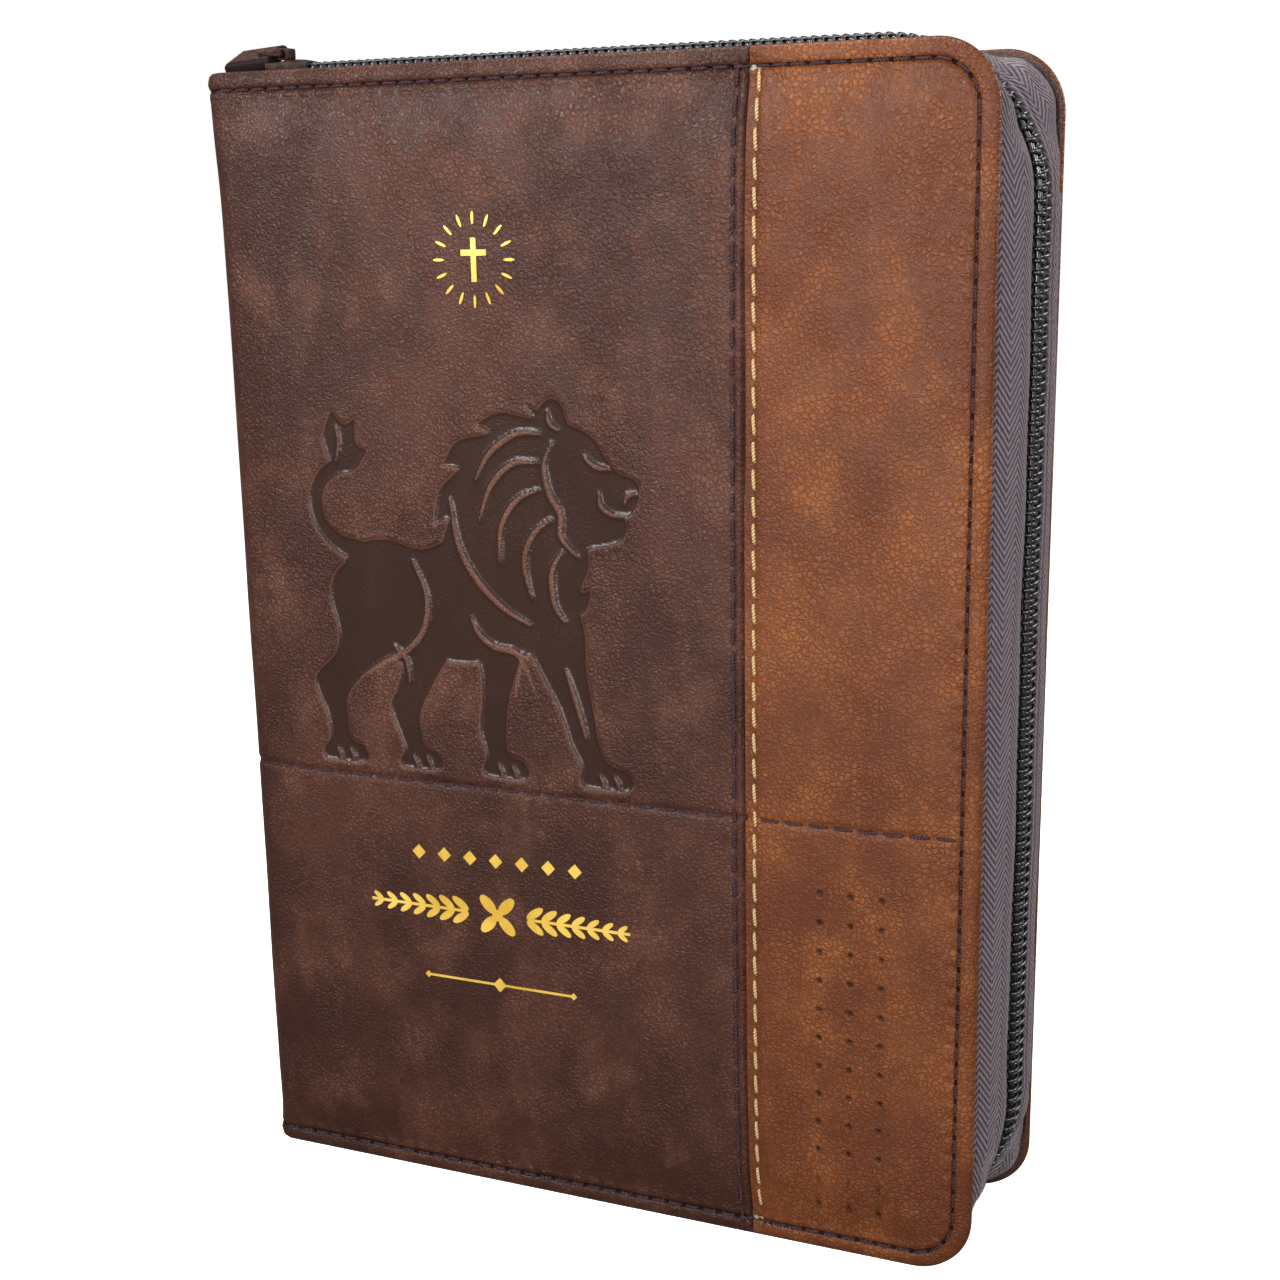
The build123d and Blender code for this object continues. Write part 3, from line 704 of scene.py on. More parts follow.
def emblem_fields(x, z):
    """Depth inside the lion's outline and inside its standing lines, in mm."""
    depth, ridge = np.full(x.shape, -3.0), np.full(x.shape, -3.0)
    u, v = (x - EMBLEM_X) / EMBLEM_SCALE, (z - EMBLEM_Z) / EMBLEM_SCALE
    near = (u > -2) & (u < 87) & (v > -2) & (v < 80)
    u, v = u[near], v[near]
    inner, lines = depth[near], ridge[near]
    for outline in OUTLINES.values():
        away, _, within = to_line(u, v, drawn(outline, True), True)
        inner = np.maximum(inner, np.where(within, away, -away))
    toes = []
    for paw in PAW_X:
        for toe in (paw, paw + 3.3):
            toes.append((0.75, ((toe, 2.7), (toe + 0.9, 1.3), (toe + 0.9, 0))))
    for width, points in RIDGES + tuple(toes):
        away, passed, _ = to_line(u, v, drawn(points, False), False)
        half = width / 2 * (0.35 + 0.65 * np.sin(np.pi * passed))
        lines = np.maximum(lines, half - away)
    depth[near], ridge[near] = inner, lines
    return np.clip(depth, -3, 3), np.clip(ridge, -3, 3)


def emblem_relief(depth, ridge):
    """Height of the pressed emblem: sunk inside, a little swollen round its edge."""
    pressed = step(-0.35, 0.3, depth) * (1 - 0.9 * step(-0.3, 0.2, ridge))
    lifted = 0.12 * dip(depth + 0.75, 0.55) * (ridge < 0)
    return lifted - 0.55 * pressed


def leather(name, tones, emblem=False):
    """Mottled bonded leather with pebbled grain, and painted shade down in the sewn groove."""
    material, shader = finish_of(name, roughness=0.36, level=0.2)
    at = coordinates(material, "UV")
    cloud = at.stretched((1.0, 0.8, 1.0)).noise(0.024, 4.0, 0.55)
    blotch = at.stretched((1.0, 0.75, 1.0)).noise(0.07, 6.0, 0.62)
    speck = at.noise(3.2, 3.0, 0.75)
    tone = (cloud * 0.5 + blotch * 0.5).ramp(0.4, 0.6)
    colour = tone.mixed(tones[0], tones[1])
    colour = blotch.ramp(0.5, 0.72, 0.0, 0.6).mixed(colour, tones[2])
    pebble = at.shaken(1.3, 0.55).cells(0.95).ramp(0.0, 0.3)
    small = at.shaken(2.0, 0.3).cells(2.1).ramp(0.0, 0.35)
    patch = at.noise(0.09, 3.0).ramp(0.35, 0.65)
    grain = pebble * (0.3 + patch * 0.5) + small * 0.3
    colour = (grain * 0.35 + speck * 0.75).ramp(0.32, 0.68, 0.75, 0.0).mixed(colour, tones[3])
    rough = speck.ramp(0.3, 0.7, 0.30, 0.40)
    inset, along = at.field("edge_inset"), at.field("edge_along")
    wave = (along * (TAU / EDGE_PITCH)).sine()
    beat = (along * (TAU / EDGE_PITCH) + math.pi / 2).sine()
    away = (inset - GROOVE - beat * 0.10 - wave * 0.03).abs()
    # Painted shade: the leather is coloured near black down in the groove of the edge stitches,
    # wider at the needle holes.
    crevice_shade = 1.0 - (away - beat.ramp(0.2, 1.0) * 0.16).ramp(0.14, 0.36)
    colour = (crevice_shade * 0.92).mixed(colour, (0.006, 0.003, 0.003, 1))
    if not emblem:
        # Painted shade: the dimples' pits are coloured dark.
        colour = at.field("dimple_pit_shade").mixed(colour, (0.020, 0.006, 0.003, 1))
    else:
        depth, ridge = at.field("emblem_depth"), at.field("emblem_ridge")
        pressed = depth.ramp(-0.12, 0.12) * (1.0 - ridge.ramp(-0.1, 0.12))
        # Painted highlight: the pressed edge of the emblem and its standing lines are coloured
        # lighter.
        rim = depth.ramp(-0.5, -0.1) * (1.0 - depth.ramp(-0.1, 0.2)) + ridge.ramp(-0.1, 0.15)
        colour = (pressed * 0.85).mixed(colour, (0.026, 0.013, 0.010, 1))
        colour = (rim.least(1.0) * 0.3).mixed(colour, (0.20, 0.10, 0.07, 1))
        rough = rough - pressed * 0.06
        grain = grain * (1.0 - pressed * 0.8)
    connect(shader, Base_Color=colour, Roughness=rough, Normal=bumped(grain, 0.00015))
    return material


# Tones of each leather: deep, main, light blotch, and dark specks in the grain.
dark_tones = (
    (0.044, 0.014, 0.008, 1),
    (0.098, 0.034, 0.020, 1),
    (0.150, 0.064, 0.040, 1),
    (0.028, 0.010, 0.007, 1),
)
tan_tones = (
    (0.118, 0.031, 0.009, 1),
    (0.205, 0.060, 0.016, 1),
    (0.270, 0.090, 0.022, 1),
    (0.060, 0.016, 0.006, 1),
)
dark_finish = leather("dark_leather", dark_tones, emblem=True)
tan_finish = leather("tan_leather", tan_tones)
for side, label in ((1, "front"), (-1, "back")):
    piece, shape = dark_leather(side, side > 0)
    close_up(piece, *shape)
    piece.data.materials.append(dark_finish)
    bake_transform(piece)
    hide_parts(f"{label}_dark_leather", *(["spine_leather"] if side > 0 else []))
    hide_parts(f"{label}_foam")
    piece = tan_leather(side, side > 0)
    close_up(piece)
    piece.data.materials.append(tan_finish)
    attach(piece, f"{label}_cover")
    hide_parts(f"{label}_tan_leather")


# Topstitching.  Corded polyester thread, dark along the lip, beside the seam and
# straight across, cream on the tan side of the seam.  Each stitch lies in the
# groove that it pulled, its two ends dipping into their needle holes.
THREAD, THREAD_RISE, THREAD_FLAT = 0.29, 0.22, 1.12
SEAM_PITCH, SEAM_LENGTH, CREAM_SLANT = 4.9, 4.0, 0.16
STITCH_SINK = 0.12
RINGS = ((-0.5, 0.5, -0.62), (-0.46, 0.85, -0.28), (-0.33, 1.0, -0.03), (0, 1.05, 0.02))
RINGS = RINGS + tuple((-s, r, h) for s, r, h in reversed(RINGS[:3]))
SIDES = 7


def stitches(name, places, finish, body, stands_for):
    """One piece of thread stitches from (middle, direction, outward, length) in mm."""
    points, uv, faces = [], [], []
    turns = np.linspace(0, TAU, SIDES, endpoint=False)
    for middle, along, outward, length in places:
        along = np.array(along) / np.linalg.norm(along)
        outward = np.array(outward, float)
        outward = outward - along * (outward @ along)
        outward = outward / np.linalg.norm(outward)
        sideways = np.cross(along, outward)
        first = len(points)
        for share, girth, lift in RINGS:
            centre = np.array(middle) + along * share * length + outward * (lift + THREAD_RISE)
            reach = THREAD * girth
            for turn in turns:
                flat = sideways * reach * THREAD_FLAT * math.cos(turn)
                points.append(centre + flat + outward * reach * math.sin(turn))
                uv.append((turn / TAU, share * length))
        close_tube(faces, first, len(RINGS), SIDES)
    mesh = bpy.data.meshes.new(name)
    mesh.from_pydata((np.array(points) * MM).tolist(), [], faces)
    layer = mesh.uv_layers.new(name="UVMap")
    corners = np.empty(len(mesh.loops), int)
    mesh.loops.foreach_get("vertex_index", corners)
    layer.data.foreach_set("uv", np.array(uv)[corners].ravel())
    made = bpy.data.objects.new(name, mesh)
    bpy.context.scene.collection.objects.link(made)
    face_outward(mesh, smooth=True)
    mesh.materials.append(finish)
    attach(made, body)
    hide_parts(stands_for)


def thread(name, colour, shade):
    """Two-ply thread: slanting plies, with a painted highlight on top of each and painted shade
    between them.
    """
    material, shader = finish_of(name, roughness=0.5, level=0.5)
    at = coordinates(material, "UV")
    ply = ((at.part("X") * 2 + at.part("Y") * 1.6) * TAU).sine() * 0.5 + 0.5
    fibre = at.stretched((9.0, 3.0, 1.0)).noise(3.0, 2.0)
    connect(
        shader,
        Base_Color=(ply * 0.75 + fibre * 0.35).ramp(0.15, 0.8).mixed(shade, colour),
        Normal=bumped(ply, 0.00022),
    )
    return material


dark_thread = thread("dark_thread", (0.060, 0.018, 0.026, 1), (0.012, 0.004, 0.006, 1))
cream_thread = thread("cream_thread", (0.74, 0.53, 0.27, 1), (0.36, 0.20, 0.08, 1))


def on_cover(side, x, z, lift=0.0):
    """Point on the outside of a cover, in mm."""
    tan = x > SEAM_X
    height = float(pad_height(np.array(x), np.array(z), tan, side > 0)) + lift
    return np.array((float(bowed(np.array(x), np.array(z))), -side * (LIP_Y + height), z))


def row(side, start, end, slant=0.0):
    """Stitches in a straight row on a cover."""
    start, end = np.array(start, float), np.array(end, float)
    reach = np.linalg.norm(end - start)
    step_along = (end - start) / reach
    places = []
    for index in range(int(reach / SEAM_PITCH)):
        middle = start + step_along * (index + 0.5) * SEAM_PITCH
        lean = np.array((-step_along[1], step_along[0])) * slant
        first = middle - step_along * SEAM_LENGTH / 2 - lean
        last = middle + step_along * SEAM_LENGTH / 2 + lean
        a, b = on_cover(side, *first), on_cover(side, *last)
        centre = on_cover(side, *middle)
        places.append((centre, b - a, (0, -side, 0), SEAM_LENGTH))
    return places


def edge_row(side):
    """Stitches along the lip, from the spine round both fore corners and back."""
    radius = CORNER - GROOVE
    left, right = EDGE_START, FORE_X - CORNER
    low, high = CORNER, CASE_HEAD - CORNER
    arc = radius * math.pi / 2
    runs = (right - left, arc, high - low, arc, right - left)
    total = sum(runs)
    count = int(total / EDGE_PITCH)
    places = []
    for index in range(count):
        along = (index + 0.5) * total / count
        ends = []
        for offset in (-EDGE_LENGTH / 2, 0, EDGE_LENGTH / 2):
            at = along + offset
            if at < runs[0]:
                ends.append((left + at, CASE_HEAD - GROOVE))
            elif at < runs[0] + arc:
                turn = (at - runs[0]) / radius
                ends.append((right + radius * math.sin(turn), high + radius * math.cos(turn)))
            elif at < sum(runs[:3]):
                ends.append((FORE_X - GROOVE, high - (at - runs[0] - arc)))
            elif at < sum(runs[:4]):
                turn = (at - sum(runs[:3])) / radius
                ends.append((right + radius * math.cos(turn), low - radius * math.sin(turn)))
            else:
                ends.append((right - (at - sum(runs[:4])), GROOVE))
        a, middle, b = (on_cover(side, *end, -STITCH_SINK) for end in ends)
        places.append((middle, b - a, (0, -side, 0), EDGE_LENGTH))
    return places


for side, label in ((1, "front"), (-1, "back")):
    body = f"{label}_cover"
    rows = (
        ("edge_thread", edge_row(side), dark_thread, "dark_thread"),
        (
            "seam_thread_dark",
            row(side, (DARK_ROW_X, 1.8), (DARK_ROW_X, CASE_HEAD - 1.8)),
            dark_thread,
            "dark_thread",
        ),
        (
            "seam_thread_cream",
            row(side, (CREAM_ROW_X, 1.2), (CREAM_ROW_X, CASE_HEAD - 1.2), CREAM_SLANT),
            cream_thread,
            "cream_thread",
        ),
        (
            "cross_thread",
            row(side, (SPINE_X + 7, CROSS_Z), (DARK_ROW_X - 0.6, CROSS_Z))
            + row(side, (CREAM_ROW_X + 0.7, CROSS_Z), (FORE_X - 1, CROSS_Z)),
            dark_thread,
            "dark_thread",
        ),
    )
    for name, places, finish, slot in rows:
        stitches(f"{label}_{name}_stitches", places, finish, body, f"{label}_{name}")
places = []
for index in range(-3, 4):
    middle = (SPINE_X + 0.3, index * SEAM_PITCH, CROSS_Z)
    places.append((middle, (0, 1, 0), (-1, 0, 0), SEAM_LENGTH))
stitches("spine_cross_stitches", places, dark_thread, "spine", "spine_cross_thread")


# Zip.  Woven polyester tape, sewn in behind the lip of each cover and bulging out
# to the chain, where it carries one half of a nylon coil, sewn down over a filler
# cord.  The two coils mesh from the slider at the head to the tail.
COIL_HEIGHT = 1.7
CHAIN_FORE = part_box("front_zip_tape")[1].x / MM
CHAIN_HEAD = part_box("front_zip_coil")[1].z / MM - COIL_HEIGHT
CHAIN_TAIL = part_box("front_zip_coil")[0].z / MM + COIL_HEIGHT
CHAIN_CORNER = 28.0
CHAIN_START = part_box("front_zip_tape")[0].x / MM
COIL_PITCH = 2.0
COIL_WIRE = 0.39
CORD, CORD_DEPTH, CORD_HEIGHT, CORD_STEP = 0.72, -1.5, 0.82, 1.5
COIL_SIDES, CORD_SIDES = 6, 8
COIL_END = 13.5

# The chain's five stretches: head, corner, fore, corner, tail.
BEND_X = CHAIN_FORE - CHAIN_CORNER
HIGH_BEND_Z, LOW_BEND_Z = CHAIN_HEAD - CHAIN_CORNER, CHAIN_TAIL + CHAIN_CORNER
ACROSS = CHAIN_FORE - CHAIN_CORNER - CHAIN_START
ARC = CHAIN_CORNER * math.pi / 2
UPRIGHT = CHAIN_HEAD - CHAIN_TAIL - 2 * CHAIN_CORNER
CHAIN_RUNS = (ACROSS, ARC, UPRIGHT, ARC, ACROSS)
CHAIN_LENGTH = sum(CHAIN_RUNS)


def chain_bend(out, bend_z):
    point = (BEND_X + CHAIN_CORNER * out[0], bend_z + CHAIN_CORNER * out[1])
    return point, (out[1], -out[0]), out


def chain_at(along):
    """Point (x, z), travel direction and outward direction along the chain."""
    if along < ACROSS:
        return (CHAIN_START + along, CHAIN_HEAD), (1, 0), (0, 1)
    along -= ACROSS
    if along < ARC:
        turn = along / CHAIN_CORNER
        return chain_bend((math.sin(turn), math.cos(turn)), HIGH_BEND_Z)
    along -= ARC
    if along < UPRIGHT:
        return (CHAIN_FORE, HIGH_BEND_Z - along), (0, -1), (1, 0)
    along -= UPRIGHT
    if along < ARC:
        turn = along / CHAIN_CORNER
        return chain_bend((math.cos(turn), -math.sin(turn)), LOW_BEND_Z)
    along -= ARC
    return (BEND_X - along, CHAIN_TAIL), (-1, 0), (0, -1)


TAPE_INSET = 2.2
TAPE_CORNER = CORNER - TAPE_INSET


def lip_at(along):
    """Point (x, z) on the inside of the lip that the tape leaves from."""
    right, head, tail = FORE_X - TAPE_INSET, CASE_HEAD - TAPE_INSET, TAPE_INSET
    if along < ACROSS:
        return CHAIN_START + along, head
    bend = TAPE_CORNER * math.pi / 2
    for first, level, ends, sign in (
        (ACROSS, head, HIGH_BEND_Z, 1),
        (ACROSS + ARC + UPRIGHT, tail, LOW_BEND_Z, -1),
    ):
        if not first <= along <= first + ARC:
            continue
        run_x = right - TAPE_CORNER - BEND_X
        run_z = abs(level - ends) - TAPE_CORNER
        share = (along - first) / ARC
        share = 1 - share if sign < 0 else share
        at = share * (run_x + bend + run_z)
        if at < run_x:
            return BEND_X + at, level
        if at < run_x + bend:
            turn = (at - run_x) / TAPE_CORNER
            return (
                right - TAPE_CORNER + TAPE_CORNER * math.sin(turn),
                level - sign * TAPE_CORNER + sign * TAPE_CORNER * math.cos(turn),
            )
        return right, level - sign * (TAPE_CORNER + at - run_x - bend)
    if along < ACROSS + ARC + UPRIGHT:
        return right, HIGH_BEND_Z - (along - ACROSS - ARC)
    return BEND_X - (along - ACROSS - 2 * ARC - UPRIGHT), tail


TAPE_STATIONS = 300
TAPE_THICKNESS = 0.5
LIP_DEPTH = 18.7
TAPE_DEPTHS = (
    LIP_DEPTH, 18.2, 17.6, 16.6, 15.4, 14, 12.5, 11, 9.6, 8.3,
    7.1, 6.1, 5.2, 4.5, 3.9, 3.2, 2.4, 1.6, 0.9, 0.35,
)
CORNER_REACH = 34


def tape(side):
    """Tape from the lip to the chain: bulged, crimped at the corners, a little wavy."""
    first_corner = CHAIN_RUNS[0] + CHAIN_RUNS[1] / 2
    second_corner = sum(CHAIN_RUNS[:3]) + CHAIN_RUNS[3] / 2
    points, uv = [], []
    for along in np.linspace(0, CHAIN_LENGTH, TAPE_STATIONS):
        (cx, cz), _, (ox, oz) = chain_at(along)
        lx, lz = lip_at(along)
        corner = sum(
            float(dip(along - middle, CORNER_REACH)) for middle in (first_corner, second_corner)
        )
        swell = 2.3 * abs(ox) ** 3 + 0.5 * max(oz, 0) - 0.2 * max(-oz, 0)
        line = []
        for depth in TAPE_DEPTHS:
            share = 1 - step(4.2, LIP_DEPTH, depth) ** 0.85
            bulge = swell * math.sin(math.pi * min((LIP_DEPTH - depth) / 13.5, 1.0)) ** 0.7
            fold = 0.0
            if corner > 0:
                wide = math.sin(along / 1.25 + 0.35 * depth)
                narrow = math.sin(along / 2.1 - 0.2 * depth + 1.0)
                fold = 0.45 * corner * wide * float(dip(depth - 12, 7.5))
                fold += 0.3 * corner * narrow * float(dip(depth - 8, 5))
            wave = 0.10 * math.sin(along / 11.0 + depth / 5.0)
            wave = wave + 0.07 * math.sin(along / 4.7 - depth / 3.1)
            ridge = 0.2 * float(dip(depth - 6.2, 1.0)) - 0.9 * float(dip(depth - 4.3, 1.1))
            out = bulge + fold + ridge + wave * float(step(3.5, 6, depth))
            x = lx + (cx - lx) * share + ox * out
            z = lz + (cz - lz) * share + oz * out
            line.append((x, -side * depth, max(z, 0.35)))
        points.append(line)
        uv.append([(along, depth) for depth in TAPE_DEPTHS])
    return skin(f"{'front' if side > 0 else 'back'}_tape", np.array(points), np.array(uv))


BAND, RIB, YARN, SEWN_CORD = 5.6, 1.45, 0.7, 1.5
tape_finish, shader = finish_of("zip_tape", roughness=0.85, sheen=0.25, level=0.25)
at = coordinates(tape_finish, "UV")
along, across = at.part("X"), at.part("Y")
lean = ((across / BAND) % 1.0 - 0.5).abs() * BAND * 1.4
rib = ((along + lean) * (TAU / RIB)).sine() * 0.5 + 0.5
yarn = (across * (TAU / YARN)).sine() * 0.5 + 0.5
fluff = at.noise(0.3, 4.0)
near_chain = across.ramp(9.0, 6.5)
cords = (across * (TAU / SEWN_CORD)).sine() * 0.5 + 0.5
weave = (rib * 0.8 + yarn * 0.2) * (1.0 - near_chain * 0.6) + cords * near_chain * 0.7
shade = (weave * 0.8 + fluff * 0.3).ramp(0.2, 1.0)
shade = shade.mixed((0.020, 0.013, 0.018, 1), (0.200, 0.140, 0.172, 1))
# Painted shade: the tape is coloured near black along the chain's edge.
shade = across.ramp(5.0, 5.9).mixed((0.004, 0.003, 0.004, 1), shade)
connect(shader, Base_Color=shade, Normal=bumped(weave, 0.00035))
for side, label in ((1, "front"), (-1, "back")):
    piece = tape(side)
    select_only(piece)
    solid = piece.modifiers.new("thickness", "SOLIDIFY")
    solid.thickness = TAPE_THICKNESS * MM
    solid.offset = -1 if side > 0 else 1
    bpy.ops.object.modifier_apply(modifier="thickness")
    face_outward(piece.data)
    bpy.ops.object.shade_smooth()
    piece.data.materials.append(tape_finish)
    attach(piece, f"{label}_cover")
    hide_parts(f"{label}_zip_tape")

# One turn of the coil, as (depth toward the other half, height above the tape).
TOOTH = (
    (-2.9, 0.1), (-3.42, 0.45), (-3.58, 1.05), (-3.3, 1.62), (-2.45, 1.86),
    (-1.1, 1.8), (0.1, 1.62), (0.8, 1.25), (0.9, 0.6),
)


def coil(side):
    """Half of the coil: one rib for each turn, hooked between the other side's."""
    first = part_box("slider_body")[1].x / MM - CHAIN_START - 1.0
    points, faces = [], []
    line = np.array(TOOTH)
    tangent = np.gradient(line, axis=0)
    tangent /= np.hypot(*tangent.T)[:, None]
    along = first + (0 if side > 0 else COIL_PITCH / 2)
    while along < CHAIN_LENGTH - COIL_END:
        (cx, cz), (tx, tz), (ox, oz) = chain_at(along)
        begin = len(points)
        for (depth, out), (td, to) in zip(line, tangent):
            lean = 0.28 * (depth + 3.3) / 4.0 * 1.6
            for turn in np.linspace(0, TAU, COIL_SIDES, endpoint=False):
                across = COIL_WIRE * math.cos(turn)
                swing = COIL_WIRE * math.sin(turn)
                d = depth + swing * -to
                o = out + swing * td
                shift = across * 1.05 + lean
                points.append((cx + ox * o + tx * shift, side * d, cz + oz * o + tz * shift))
        close_tube(faces, begin, len(line), COIL_SIDES)
        along += COIL_PITCH
    begin = len(points)
    places = spread(first, CHAIN_LENGTH - COIL_END, CORD_STEP)
    for place in places:
        (cx, cz), _, (ox, oz) = chain_at(place)
        for turn in np.linspace(0, TAU, CORD_SIDES, endpoint=False):
            out = CORD_HEIGHT + CORD * math.sin(turn)
            depth = side * (CORD_DEPTH + CORD * math.cos(turn))
            points.append((cx + ox * out, depth, cz + oz * out))
    close_tube(faces, begin, len(places), CORD_SIDES)
    label = "front" if side > 0 else "back"
    mesh = bpy.data.meshes.new(f"{label}_coil")
    mesh.from_pydata((np.array(points) * MM).tolist(), [], faces)
    face_outward(mesh, smooth=True)
    made = bpy.data.objects.new(f"{label}_coil", mesh)
    bpy.context.scene.collection.objects.link(made)
    return made


coil_finish, shader = finish_of("zip_coil", roughness=0.2, level=0.9)
at = coordinates(coil_finish)
tone = at.noise(900.0, 2.0)
connect(
    shader,
    Base_Color=tone.mixed((0.004, 0.003, 0.004, 1), (0.014, 0.010, 0.012, 1)),
    Roughness=tone.ramp(0.3, 0.7, 0.25, 0.4),
    Normal=bumped(at.noise(2500.0, 2.0), 0.00002),
)
for side, label in ((1, "front"), (-1, "back")):
    piece = coil(side)
    piece.data.materials.append(coil_finish)
    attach(piece, f"{label}_cover")
    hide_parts(f"{label}_zip_coil")


# Slider and pull.  A painted die-cast slider with a bridge on its upper plate, a
# bent wire ring through it, and a thick leather tab folded over the ring, cut,
# edge-painted and sewn.
MERGE = 0.005
DOME, DOME_FROM = 0.75, 0.3
TAB_LEAN, TAB_TWIST = -24, 4
TAB_SHIFT = Vector((0.8, 0, -0.8))
TAB_CORNER, TAB_EDGE = 4.1, 0.8
slider_finish, shader = finish_of("zip_metal", roughness=0.5, level=0.06)
at = coordinates(slider_finish)
wear = at.noise(420.0, 4.0, 0.6)
connect(
    shader,
    Base_Color=wear.ramp(0.42, 0.66).mixed((0.014, 0.007, 0.005, 1), (0.050, 0.024, 0.017, 1)),
    Roughness=wear.ramp(0.3, 0.7, 0.3, 0.46),
    Normal=bumped(at.noise(1500.0, 2.0), 0.00003),
)
dress(("front_zip_stop", "back_zip_stop"), slider_finish)
for node, body, width in (
    ("slider_body", "slider", 0.55),
    ("slider_bridge", "slider", 0.45),
    ("pull_ring", "pull", 0.1),
):
    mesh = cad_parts[node].data.copy()
    work = bmesh.new()
    work.from_mesh(mesh)
    bmesh.ops.remove_doubles(work, verts=work.verts, dist=MERGE * MM)
    flat = math.radians(1)
    bmesh.ops.dissolve_limit(work, angle_limit=flat, verts=work.verts, edges=work.edges)
    if node == "slider_body":
        low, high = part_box(node)
        centre, half = (low + high) / 2, (high - low) / 2
        for axis, cuts in ((0, 11), (1, 9)):
            for share in np.linspace(-0.9, 0.9, cuts):
                through, facing = Vector(centre), Vector((0, 0, 0))
                through[axis] += share * half[axis]
                facing[axis] = 1
                parts = work.verts[:] + work.edges[:] + work.faces[:]
                bmesh.ops.bisect_plane(work, geom=parts, plane_co=through, plane_no=facing)
        for vertex in work.verts:
            if vertex.co.z > high.z - DOME_FROM * MM:
                reach = vertex.co - centre
                away = Vector((reach.x / half.x, reach.y / half.y))
                vertex.co.z -= DOME * MM * min(away.length_squared, 1)
    bmesh.ops.recalc_face_normals(work, faces=work.faces)
    for face in work.faces:
        face.smooth = True
    work.to_mesh(mesh)
    work.free()
    piece = bpy.data.objects.new(f"{node}_cast", mesh)
    bpy.context.scene.collection.objects.link(piece)
    mesh.materials.clear()
    mesh.materials.append(slider_finish)
    edge = piece.modifiers.new("rounded_edges", "BEVEL")
    edge.width = width * MM
    edge.segments = 4
    edge.limit_method = "ANGLE"
    edge.angle_limit = math.radians(40)
    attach(piece, body)
    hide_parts(node)

tab_low, tab_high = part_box("pull_tab")
middle = (tab_low + tab_high) / 2
size = tab_high - tab_low
bpy.ops.object.select_all(action="DESELECT")
bpy.ops.mesh.primitive_cube_add(size=1, location=(0, 0, 0))
tab = bpy.context.object
tab.name = "pull_tab_leather"
bpy.ops.object.mode_set(mode="EDIT")
bpy.ops.mesh.select_all(action="SELECT")
bpy.ops.transform.resize(value=(size.x, size.y, size.z))
work = bmesh.from_edit_mesh(tab.data)
for edge in work.edges:
    a, b = edge.verts
    edge.select = abs(a.co.z - b.co.z) > 0.001
bmesh.update_edit_mesh(tab.data)
bpy.ops.mesh.bevel(offset=TAB_CORNER * MM, segments=12)
bpy.ops.mesh.select_all(action="DESELECT")
work = bmesh.from_edit_mesh(tab.data)
for face in work.faces:
    face.select = abs(face.normal.z) > 0.9
bmesh.update_edit_mesh(tab.data)
bpy.ops.mesh.bevel(offset=TAB_EDGE * MM, segments=4)
bpy.ops.mesh.select_all(action="SELECT")
for axis, angle in (("X", TAB_LEAN), ("Y", TAB_TWIST)):
    bpy.ops.transform.rotate(
        value=math.radians(angle), orient_axis=axis, center_override=(0, 0, 0)
    )
bpy.ops.transform.translate(value=middle + TAB_SHIFT * MM)
bpy.ops.object.mode_set(mode="OBJECT")
bpy.ops.object.shade_smooth_by_angle(angle=math.radians(40))
material, shader = finish_of("pull_leather", roughness=0.5, level=0.12)
at = coordinates(material)
pebble = at.shaken(900.0, 0.001).cells(900.0).ramp(0.0, 0.3)
cloud = at.noise(260.0, 4.0)
connect(
    shader,
    Base_Color=(cloud * 0.7 + pebble * 0.3)
    .ramp(0.3, 0.75)
    .mixed((0.030, 0.012, 0.010, 1), (0.085, 0.034, 0.026, 1)),
    Normal=bumped(pebble * 0.6 + cloud, 0.00018),
)
edge_paint, shader = finish_of("edge_paint", roughness=0.5, level=0.05)
at = coordinates(edge_paint)
connect(
    shader,
    Base_Color=at.noise(500.0).mixed((0.008, 0.005, 0.006, 1), (0.022, 0.012, 0.012, 1)),
    Normal=bumped(at.noise(900.0), 0.00008),
)
tab.data.materials.append(material)
tab.data.materials.append(edge_paint)
for face in tab.data.polygons:
    face.material_index = 0 if abs(face.normal.z) > 0.75 and face.area > 1e-5 else 1
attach(tab, "pull")
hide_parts("pull_tab")


# Page block and leaves.  Thin bible paper, sewn and glued at the spine, cut all
# round and gilded on its three open edges, with cloth bands at head and tail.
paper, shader = finish_of("bible_paper", roughness=0.75, level=0.25)
at = coordinates(paper)
fibre = at.noise(160.0, 4.0, 0.6)
connect(
    shader,
    Base_Color=fibre.ramp(0.3, 0.7).mixed((0.80, 0.745, 0.63, 1), (0.84, 0.79, 0.68, 1)),
    Normal=bumped(at.noise(1200.0, 3.0), 0.00003),
)
gilt, shader = finish_of("gilt_edge", roughness=0.36, metallic=0.85)
at = coordinates(gilt)
sheets = (at.shaken(60.0, 0.0004).part("Y") * 9000.0).sine() * 0.5 + 0.5
uneven = at.stretched((1.0, 14.0, 1.0)).noise(90.0, 4.0, 0.7)
connect(
    shader,
    Base_Color=(sheets * 0.5 + uneven * 0.6)
    .ramp(0.2, 0.85)
    .mixed((0.42, 0.24, 0.07, 1), (0.80, 0.53, 0.19, 1)),
    Roughness=uneven.ramp(0.3, 0.7, 0.3, 0.5),
    Normal=bumped(sheets * 0.6 + uneven, 0.00010),
)
for node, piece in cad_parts.items():
    if node == "page_block" or "_leaf_" in node:
        dress([node], paper, gilt)
        for face in piece.data.polygons:
            face.material_index = 0 if abs(face.normal.y) > 0.5 else 1

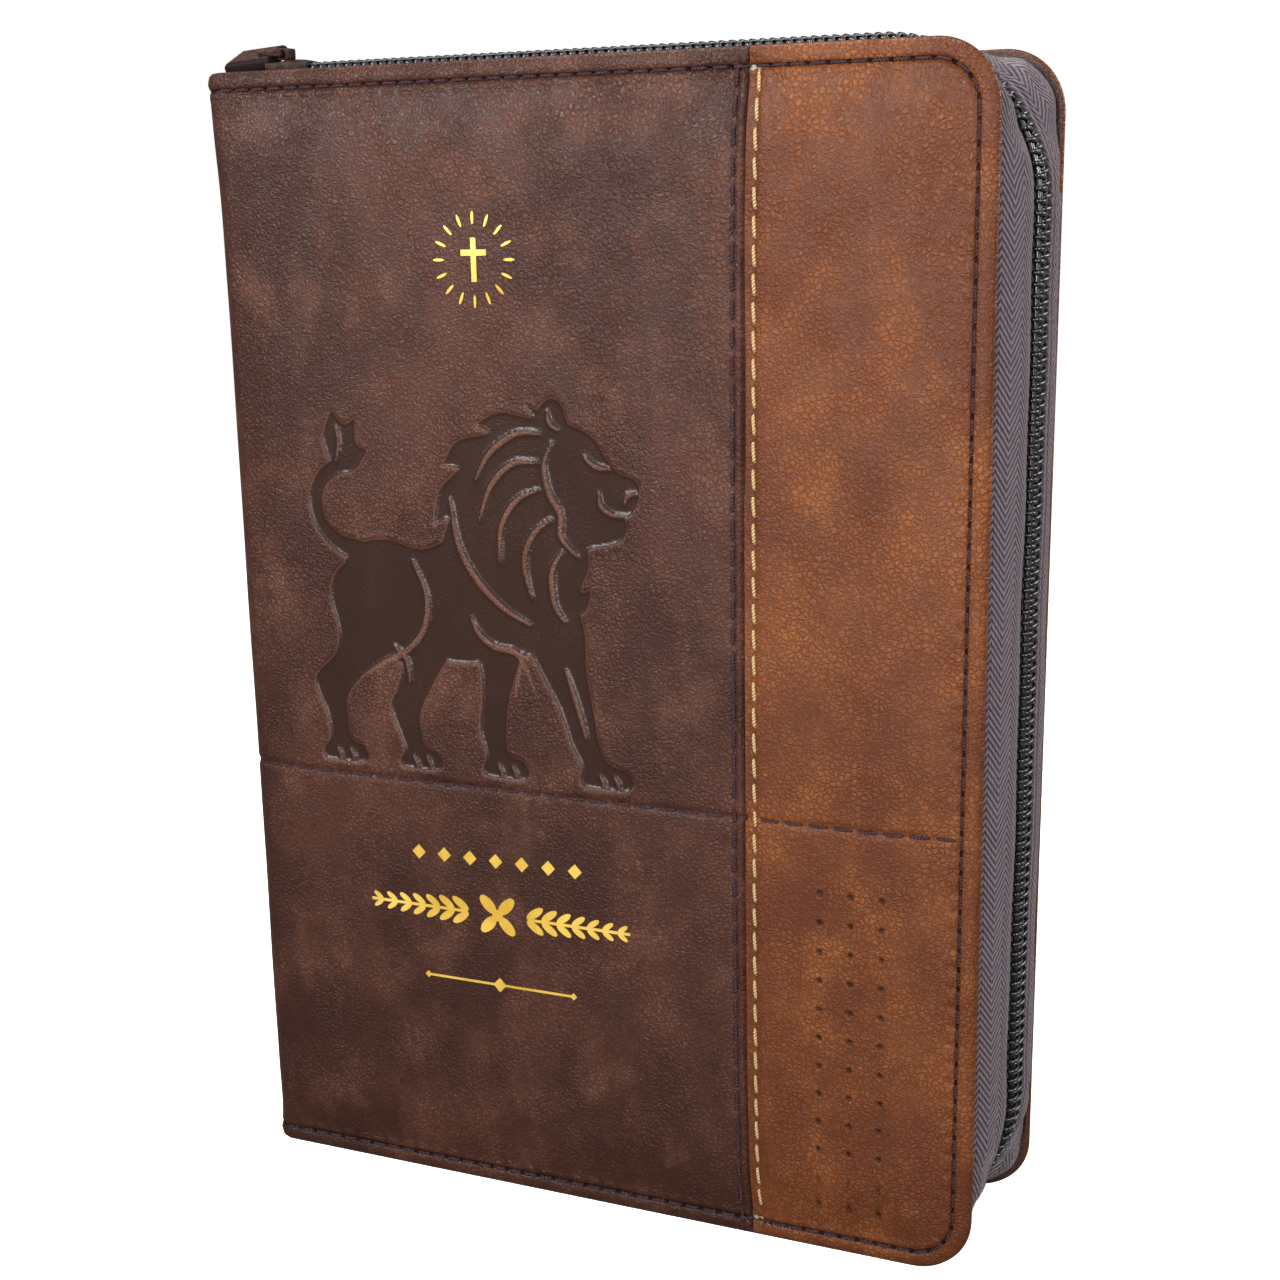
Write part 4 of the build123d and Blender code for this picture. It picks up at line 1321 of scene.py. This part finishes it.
material, shader = finish_of("band_cloth", roughness=0.7, sheen=0.2, level=0.3)
at = coordinates(material)
stripe = (at.part("Y") * (TAU / 0.0016)).sine()
silk = (at.part("X") * 14000.0 + at.part("Z") * 14000.0).sine() * 0.5 + 0.5
connect(
    shader,
    Base_Color=stripe.ramp(-0.15, 0.15).mixed((0.36, 0.05, 0.04, 1), (0.74, 0.66, 0.50, 1)),
    Normal=bumped(silk * 0.5 + stripe * 0.3, 0.00012),
)
dress(("head_band", "tail_band"), material)


# Inside of the case.  Grey board under the leather, a thin brown lining glued
# over the turned-in edges, brown endpapers on that, and open-weave mull on the
# spine of the page block.
def plain(name, low, high, scale, depth, roughness, nodes):
    """Fine fibrous finish for the flat layers inside the case."""
    material, shader = finish_of(name, roughness=roughness, level=0.35)
    at = coordinates(material)
    cloud = at.noise(scale * 0.12, 4.0)
    fibre = at.shaken(scale, 0.4 / scale).cells(scale).ramp(0.0, 0.35)
    connect(
        shader,
        Base_Color=(cloud * 0.7 + fibre * 0.3).ramp(0.3, 0.75).mixed(low, high),
        Roughness=cloud.ramp(0.3, 0.7, roughness - 0.06, roughness + 0.06),
        Normal=bumped(fibre * 0.7 + cloud * 0.6, depth),
    )
    dress(nodes, material)


both = ("front_", "back_")
plain("grey_board", (0.20, 0.16, 0.12, 1), (0.32, 0.27, 0.20, 1), 700.0, 0.00008, 0.85,
      [side + "board" for side in both] + ["spine_board"])
plain("case_lining", (0.045, 0.020, 0.014, 1), (0.095, 0.045, 0.030, 1), 1300.0, 0.00010, 0.5,
      [side + "lining" for side in both])
plain("endpaper", (0.075, 0.035, 0.022, 1), (0.12, 0.060, 0.038, 1), 600.0, 0.00005, 0.7,
      [side + "endpaper" for side in both])
plain("mull", (0.55, 0.50, 0.40, 1), (0.75, 0.70, 0.60, 1), 1500.0, 0.00015, 0.9, ["spine_lining"])


# Gold ornament: foil stamped into the dark leather with a heated die, bright, a
# little uneven and thinner here and there.
material, shader = finish_of("gold_foil", roughness=0.4, metallic=0.3)
at = coordinates(material)
pores = at.noise(900.0, 4.0, 0.7)
glow = at.noise(70.0, 3.0)
connect(
    shader,
    Base_Color=(glow * 0.8 + pores * 0.3)
    .ramp(0.3, 0.8)
    .mixed((0.72, 0.42, 0.05, 1), (0.95, 0.66, 0.14, 1)),
    Roughness=glow.ramp(0.3, 0.7, 0.24, 0.42),
    Normal=bumped(pores, 0.00006),
)
dress(("foil_cross", "foil_laurel"), material)
